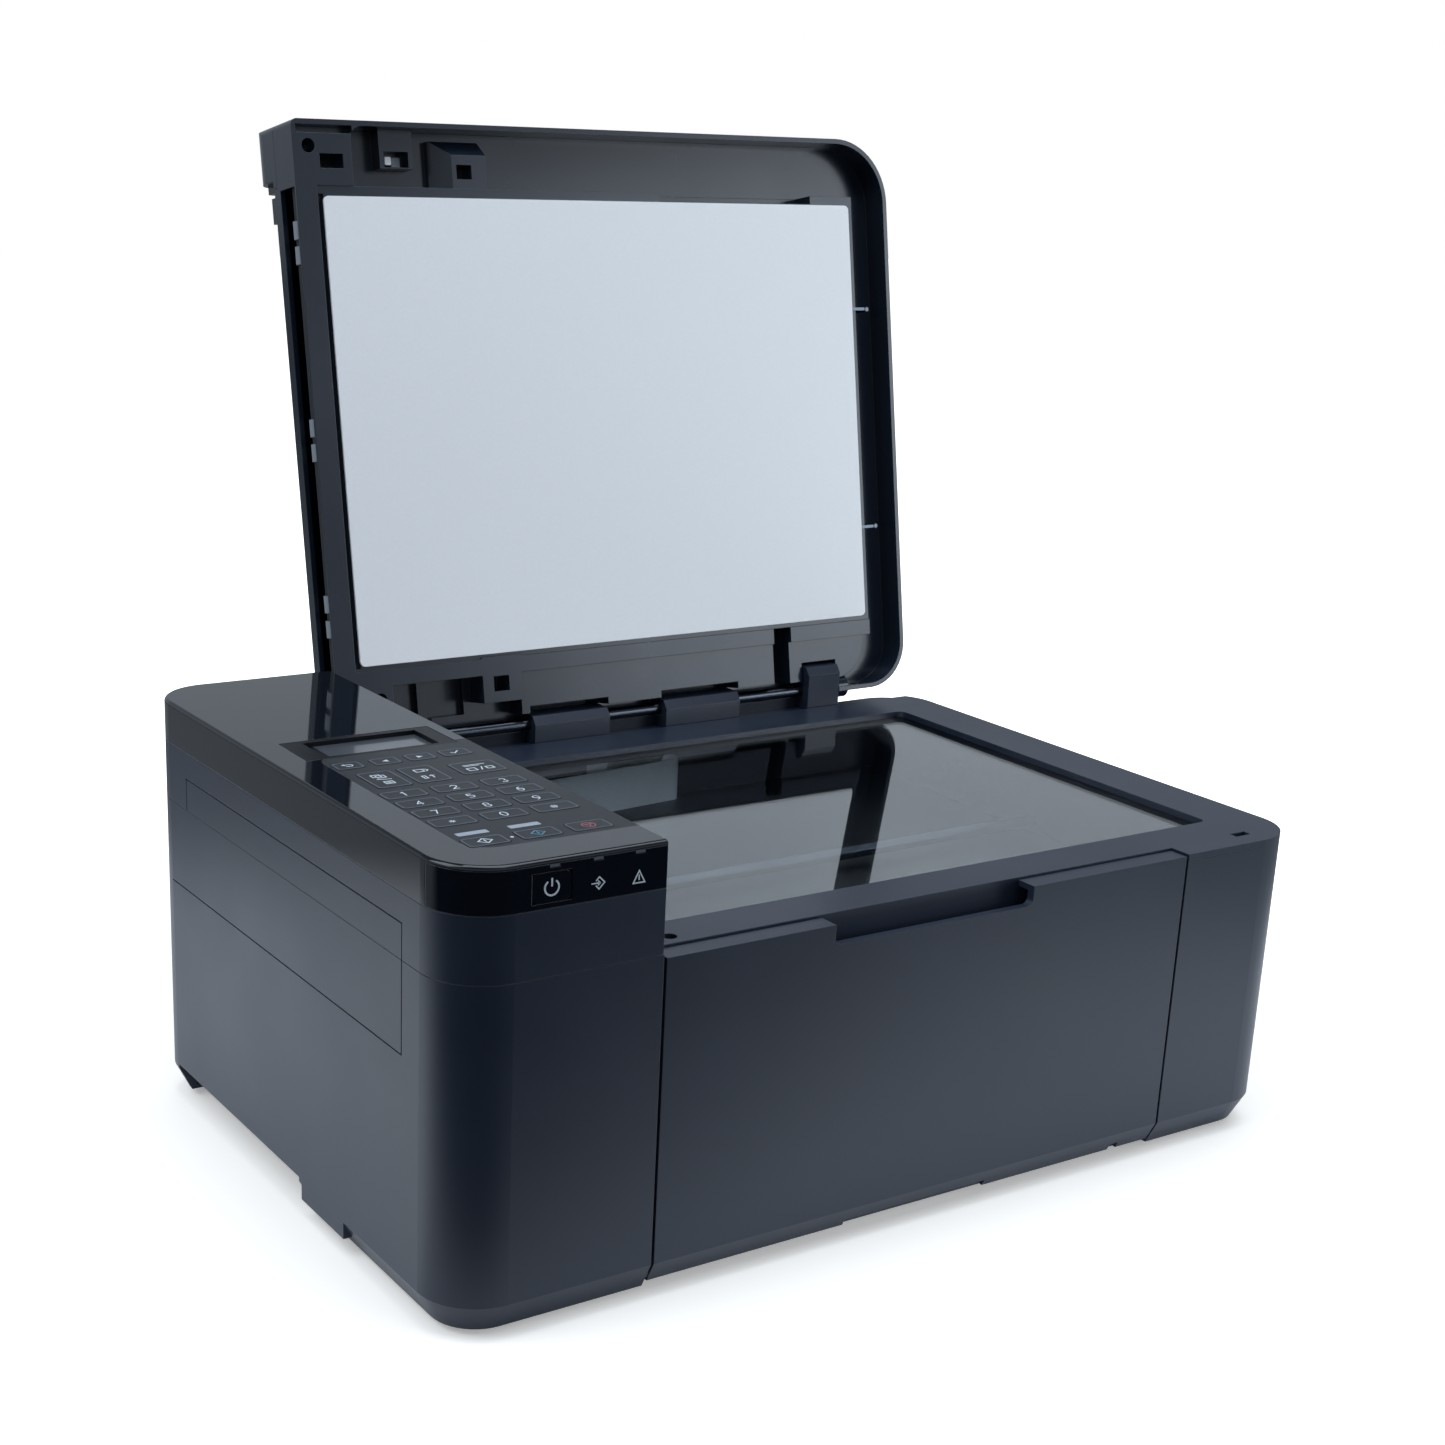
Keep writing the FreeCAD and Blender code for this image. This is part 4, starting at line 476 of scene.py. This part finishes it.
# Icons on the keys, in mm from the middle of the key.
SHEET = line((-2.4, -1.6), (1.2, -1.6), (1.2, 1.6), (-2.4, 1.6), (-2.4, -1.6))
TALL_SHEET = line((-2.6, -6), (-2.6, -2.4), (-1.2, -2.4), (-1.2, -6), (-2.6, -6))
BOX = line((3, -0.8), (3, -3.6), (6, -3.6), (6, -0.8), (3, -0.8))
DIAMOND = line((0, -2.6), (2.9, 0), (0, 2.6), (-2.9, 0), (0, -2.6))
START = strokes(DIAMOND, line((0, -1.3), (0, 1.3)))
RETURN_BEND = np.vstack((line((-2, 1.1), (0.9, 1.1)), arc((0.9, 0), (1.1, 1.1), 90, -90, 14),
                         line((-1.2, -1.1))))
KEY_MARKS = {
    "key_back": (WHITE_INK, strokes(RETURN_BEND, line((-1.1, 2), (-2.1, 1.1), (-1.1, 0.2)))),
    "key_left": (WHITE_INK, [chip(line((1.2, -1.3), (1.2, 1.3), (-1.3, 0)))]),
    "key_right": (WHITE_INK, [chip(line((-1.2, 1.3), (-1.2, -1.3), (1.3, 0)))]),
    "key_ok": (WHITE_INK, strokes(line((-1.9, 0.1), (-0.6, -1.3), (2.1, 1.6)))),
    "key_function_one": (WHITE_INK, strokes(SHEET + (-0.6, 5), SHEET + (0.9, 3.8), line((-3, 0.6), (3, -0.6)),
                                            SHEET + (0.6, -4.6), line((-1, -4), (1, -4)),
                                            line((-1, -5.2), (1, -5.2)))),
    "key_function_two": (WHITE_INK, strokes(SHEET + (0.6, 4.8), line((2.6, 3.2), (4, 4.8), (2.6, 6.4)),
                                            TALL_SHEET, line((1.6, -6), (1.6, -2.4)),
                                            line((0.5, -3.5), (1.6, -2.4), (2.7, -3.5)))),
    "key_menu": (WHITE_INK, strokes(line((-5, 3.6), (5, 3.6)), line((-5, 2.2), (2, 2.2)), SHEET + (-3, -2.2),
                                    line((0, -4.2), (1.6, -0.2)), BOX)),
    "key_black": (WHITE_INK, START),
    "key_colour": (BLUE_INK, START),
    "key_stop": (RED_INK, strokes(arc((0, 0), (2.6, 2.6), 0, 360),
                                  line((-1.3, 0.8), (1.3, 0.8), (0, -1.4), (-1.3, 0.8)))),
}
for mark, paths in NUMERALS.items():
    KEY_MARKS[f"key_{mark}"] = (WHITE_INK, strokes(*[path * NUMERAL_HIGH for path in paths]))

# From a key's brim in to its printed outline, the outline's corners and its width.
KEY_INSET, OUTLINE_ROUND, OUTLINE_WIDE = 1.5, 1.4, 0.7
for key, (ink, shapes) in KEY_MARKS.items():
    low, high = in_mm(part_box(key))
    top_middle = ((low[0] + high[0]) / 2, (low[1] + high[1]) / 2, high[2])
    printed_piece(f"{key}_mark", key, ink, shapes, top_middle, slot="key_cap", **KEY_AXES)
    wide, long = high[:2] - low[:2] - 2 * KEY_INSET
    rim = rounded_patch(wide, long, OUTLINE_ROUND)
    outline = strokes(np.vstack((rim, rim[:1])), width=OUTLINE_WIDE)
    printed_piece(f"{key}_outline", key, OUTLINE_INK, outline, top_middle, slot="key_cap", **KEY_AXES)

# Panel top: a label chip over each start key, and a lamp dot. Places are across and in depth.
PANEL_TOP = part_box("panel_housing")[1][2] / MM
LABEL_CHIP = [chip(rounded_patch(13, 3.6, 0.6))]
LABEL_PLACES = {"label_chip_black": (-189.3, -108.9), "label_chip_colour": (-167.5, -108.9)}
LAMP_PLACE, LAMP_RADIUS = (-178.6, -119.4), 0.7
for name, place in LABEL_PLACES.items():
    printed_piece(name, "case", CHIP_INK, LABEL_CHIP, (*place, PANEL_TOP), slot="panel_abs", **KEY_AXES)
printed_piece("lamp_dot", "case", WHITE_INK, [chip(disc(LAMP_RADIUS))], (*LAMP_PLACE, PANEL_TOP),
              slot="panel_abs", **KEY_AXES)

# Display: paint over the left end of its window.
MASK_WIDE, MASK_IN = 8, 0.1
display_low, display_high = in_mm(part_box("lcd_window"))
mask_long = display_high[1] - display_low[1]
display_mask = [chip(line((0, 0), (MASK_WIDE, 0), (MASK_WIDE, mask_long), (0, mask_long)))]
printed_piece("display_mask", "case", FINISHES["lcd_surround"], display_mask,
              (display_low[0] + MASK_IN, display_low[1], display_high[2]), thick=0.05, slot="lcd_surround",
              **KEY_AXES)

# Front strip: the power sign on its button, and the data and alarm signs on the strip, across and in height.
STRIP_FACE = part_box("panel_front")[0][1] / MM
DATA_PLACE, ALARM_PLACE = (-158.9, 176), (-141.4, 175.6)
STRIP_INK_THICK = 0.02
power_low, power_high = in_mm(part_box("power_button"))
power_middle = ((power_low[0] + power_high[0]) / 2, power_low[1], (power_low[2] + power_high[2]) / 2)
power_sign = strokes(arc((0, -0.2), (2.9, 2.9), 125, 415), line((0, 0.2), (0, 3.4)), width=0.7)
data_sign = strokes(line((-0.9, 0.9), (0.5, 2.3), (2.8, 0), (0.5, -2.3), (-0.9, -0.9)),
                    line((-2.8, 0), (0.9, 0)), line((0, 0.9), (0.9, 0), (0, -0.9)))
alarm_sign = strokes(line((-2.5, -2.1), (2.5, -2.1), (0, 2.5), (-2.5, -2.1)), line((0, -1.1), (0, 1)))
printed_piece("power_mark", "power_button", WHITE_INK, power_sign, power_middle, slot="power_cap",
              **FRONT_AXES)
for name, sign, (x, z) in (("data_mark", data_sign, DATA_PLACE), ("alarm_mark", alarm_sign, ALARM_PLACE)):
    printed_piece(name, "case", WHITE_INK, sign, (x, STRIP_FACE, z), thick=STRIP_INK_THICK,
                  slot="panel_gloss", **FRONT_AXES)


def under_lid(x, y, z):
    """A place on the closed lid, in mm, turned open about its hinge."""
    past, over = y - LID_HINGE[0], z - LID_HINGE[1]
    return (x, LID_HINGE[0] - past * math.sin(LEAN) + over * math.cos(LEAN),
            LID_HINGE[1] - past * math.cos(LEAN) - over * math.sin(LEAN))


# Lid clips: a steel tongue and its pin at two depths. Across and height are on the closed lid.
CLIP_TONGUE = [chip(rounded_patch(8.2, 1.5, 0.6))]
CLIP_PIN = [chip(disc(1.1))]
CLIP_DEPTHS = {"front": -59.6, "back": 54.5}
TONGUE_ACROSS, TONGUE_HEIGHT, TONGUE_THICK = 191.5, 144.2, 0.7
PIN_ACROSS, PIN_HEIGHT, PIN_LONG = 199, 146, 12.2
for name, y in CLIP_DEPTHS.items():
    tongue_place = under_lid(TONGUE_ACROSS, y, TONGUE_HEIGHT)
    printed_piece(f"lid_clip_{name}", "lid", CLIP_STEEL, CLIP_TONGUE, tongue_place, thick=TONGUE_THICK,
                  slot="steel", **LID_AXES)
    printed_piece(f"lid_clip_pin_{name}", "lid", CLIP_STEEL, CLIP_PIN, under_lid(PIN_ACROSS, y, PIN_HEIGHT),
                  sink=PIN_LONG, slot="steel", **LID_AXES)

# Lid sensor: a white window and a grey block beside it, each with its outline, place and depth into the lid.
SENSOR_WINDOW = {"shapes": [chip(rounded_patch(3.1, 3.6, 0.3))], "sink": 3.5,
                 "origin": under_lid(-74.3, -130.1, 153.6)}
SENSOR_BLOCK = {"shapes": [chip(rounded_patch(4.6, 4.4, 0.3))], "sink": 3.1,
                "origin": under_lid(-70.2, -129.5, 154)}
printed_piece("lid_sensor_window", "lid", FINISHES["white_sheet"], slot="white_sheet", **SENSOR_WINDOW,
              **LID_AXES)
printed_piece("lid_sensor_block", "lid", SENSOR_GREY, slot="lid_abs", **SENSOR_BLOCK, **LID_AXES)

# Stage, in metres: a white table with painted shade towards the camera, and a pale room round it.
WHITE, DAYLIGHT, TABLE_TINT = "#ffffff", "#e8f2fd", "#f9f4ec"
# Half the table's side.
TABLE = 6.0
# The way to the painted shade, where it starts and is full, where the table's painted dimming with distance
# runs and to what tone.
SHADE_WAY = (-0.47, -0.883)
SHADE_START, SHADE_FULL = 0.19, 0.325
DIM_START, DIM_FULL, DIM_TONE = 0.47, 0.63, 0.25
# What the camera sees of the table glows, least near the object.
GLOW_START, GLOW_FULL, GLOW_LEAST = 0.3, 0.7, 0.3


def table_top(tree):
    """White table: matt, and white to the camera where the object doesn't shade it. To every other ray its
    colour holds painted shade in front of the middle, towards the camera, and is painted dimmer with
    distance."""
    place = object_place(tree)
    forward = vector(tree, "DOT_PRODUCT", place, (*SHADE_WAY, 0))
    away = vector(tree, "LENGTH", place)
    # Painted shade towards the camera and painted dimming with distance, in the colour that reflections see.
    shade = spread(tree, forward, 1.0, 0.0, SHADE_START, SHADE_FULL)
    far = spread(tree, away, 1.0, DIM_TONE, DIM_START, DIM_FULL, interpolation_type="SMOOTHSTEP")
    lit = add(tree, "ShaderNodeBsdfDiffuse", {"Color": number(tree, "MULTIPLY", shade, far)})
    glow = spread(tree, away, GLOW_LEAST, 1.0, GLOW_START, GLOW_FULL, interpolation_type="SMOOTHSTEP")
    white = add(tree, "ShaderNodeEmission", {"Color": linear(WHITE), "Strength": glow})
    pale = add(tree, "ShaderNodeBsdfDiffuse", {"Color": linear(TABLE_TINT)})
    seen = add(tree, "ShaderNodeAddShader", {0: pale.outputs[0], 1: white.outputs[0]})
    is_camera = add(tree, "ShaderNodeLightPath").outputs["Is Camera Ray"]
    return add(tree, "ShaderNodeMixShader", {"Fac": is_camera, 1: lit.outputs[0], 2: seen.outputs[0]})


def stage_sheet(name, corners, material):
    """A flat sheet of the stage through four corners in metres."""
    mesh = bpy.data.meshes.new(name)
    mesh.from_pydata(corners, [], [(0, 1, 2, 3)])
    mesh.materials.append(material)
    sheet = bpy.data.objects.new(name, mesh)
    scene.collection.objects.link(sheet)


stage_sheet("table", [(-TABLE, -TABLE, 0), (TABLE, -TABLE, 0), (TABLE, TABLE, 0), (-TABLE, TABLE, 0)],
            finish("white_table", table_top))

# Brightness of the room: for matt light, in mirrors from the walls to the darker ceiling, and through glass.
# The walls end and the ceiling starts by the height of the ray's direction.
ROOM_TONE, WALL_TONE, CEILING_TONE, GLASS_TONE = 0.42, 0.52, 0.1, 1.0
WALL_END, CEILING_START = 0.32, 0.6


def room_light(tree):
    """The room: white to the camera, and to other rays daylight whose strength goes by the kind of ray."""
    ray = add(tree, "ShaderNodeLightPath")
    way = add(tree, "ShaderNodeTexCoord").outputs["Generated"]
    height = add(tree, "ShaderNodeSeparateXYZ", {"Vector": way}).outputs["Z"]
    walls = spread(tree, height, WALL_TONE, CEILING_TONE, WALL_END, CEILING_START,
                   interpolation_type="SMOOTHSTEP")
    indoors = blend(tree, ray.outputs["Is Glossy Ray"], ROOM_TONE, walls)
    through = blend(tree, ray.outputs["Is Transmission Ray"], indoors, GLASS_TONE)
    dim_sky = add(tree, "ShaderNodeBackground", {"Color": linear(DAYLIGHT), "Strength": through})
    white_sky = add(tree, "ShaderNodeBackground", {"Color": linear(WHITE), "Strength": 1.0})
    return add(tree, "ShaderNodeMixShader", {"Fac": ray.outputs["Is Camera Ray"], 1: dim_sky.outputs[0],
                                             2: white_sky.outputs[0]})


room = bpy.data.worlds.new("room")
scene.world = room
room.use_nodes = True
room.node_tree.nodes.clear()
add(room.node_tree, "ShaderNodeOutputWorld", {"Surface": room_light(room.node_tree).outputs[0]})


def softbox(name, place, aim, wide, high, watts):
    """A soft area lamp at place, turned to aim, in metres."""
    lamp = bpy.data.lights.new(name, "AREA")
    lamp.shape = "RECTANGLE"
    lamp.size = wide
    lamp.size_y = high
    lamp.energy = watts
    lamp.color = linear(DAYLIGHT)[:3]
    holder = bpy.data.objects.new(name, lamp)
    holder.location = place
    holder.rotation_euler = (Vector(aim) - Vector(place)).to_track_quat("-Z", "Y").to_euler()
    scene.collection.objects.link(holder)


softbox("softbox_top", place=(0.2, -0.2, 2.0), aim=(0, 0, 0), wide=1.8, high=1.8, watts=30)
softbox("softbox_left", place=(-1.5, 0.4, 1.8), aim=(0, 0, 0.15), wide=1.6, high=1.6, watts=27)
softbox("softbox_right", place=(1.6, -1.4, 0.6), aim=(0, 0, 0.15), wide=1.3, high=0.85, watts=12)

# Camera: where it stands, how it is turned and how its frame is shifted, solved from the object's own sizes.
# The image's side, the focal length and the lens's middle are in pixels.
IMAGE = 1445
FOCAL, MIDDLE_X, MIDDLE_Y = 2224.486, 644.12, 852.149
TARGET = Vector((-0.041754, 0.0, 0.127298))
AZIMUTH, ELEVATION, ROLL = (math.radians(angle) for angle in (-33.577, 18.009, 2.286))
DISTANCE = 0.990014
SENSOR = 36
back = Vector((math.sin(AZIMUTH) * math.cos(ELEVATION), -math.cos(AZIMUTH) * math.cos(ELEVATION),
               math.sin(ELEVATION)))
level_right = (-back).cross(Vector((0, 0, 1))).normalized()
level_up = level_right.cross(-back)
right = level_right * math.cos(ROLL) + level_up * math.sin(ROLL)
up = level_up * math.cos(ROLL) - level_right * math.sin(ROLL)
lens = bpy.data.cameras.new("camera")
lens.sensor_width = SENSOR
lens.lens = FOCAL / IMAGE * SENSOR
lens.shift_x = (IMAGE / 2 - MIDDLE_X) / IMAGE
lens.shift_y = (MIDDLE_Y - IMAGE / 2) / IMAGE
camera = bpy.data.objects.new("camera", lens)
turned = Matrix((right, up, back)).transposed().to_4x4()
turned.translation = TARGET + back * DISTANCE
camera.matrix_world = turned
scene.collection.objects.link(camera)
scene.camera = camera
scene.view_settings.view_transform = "Standard"
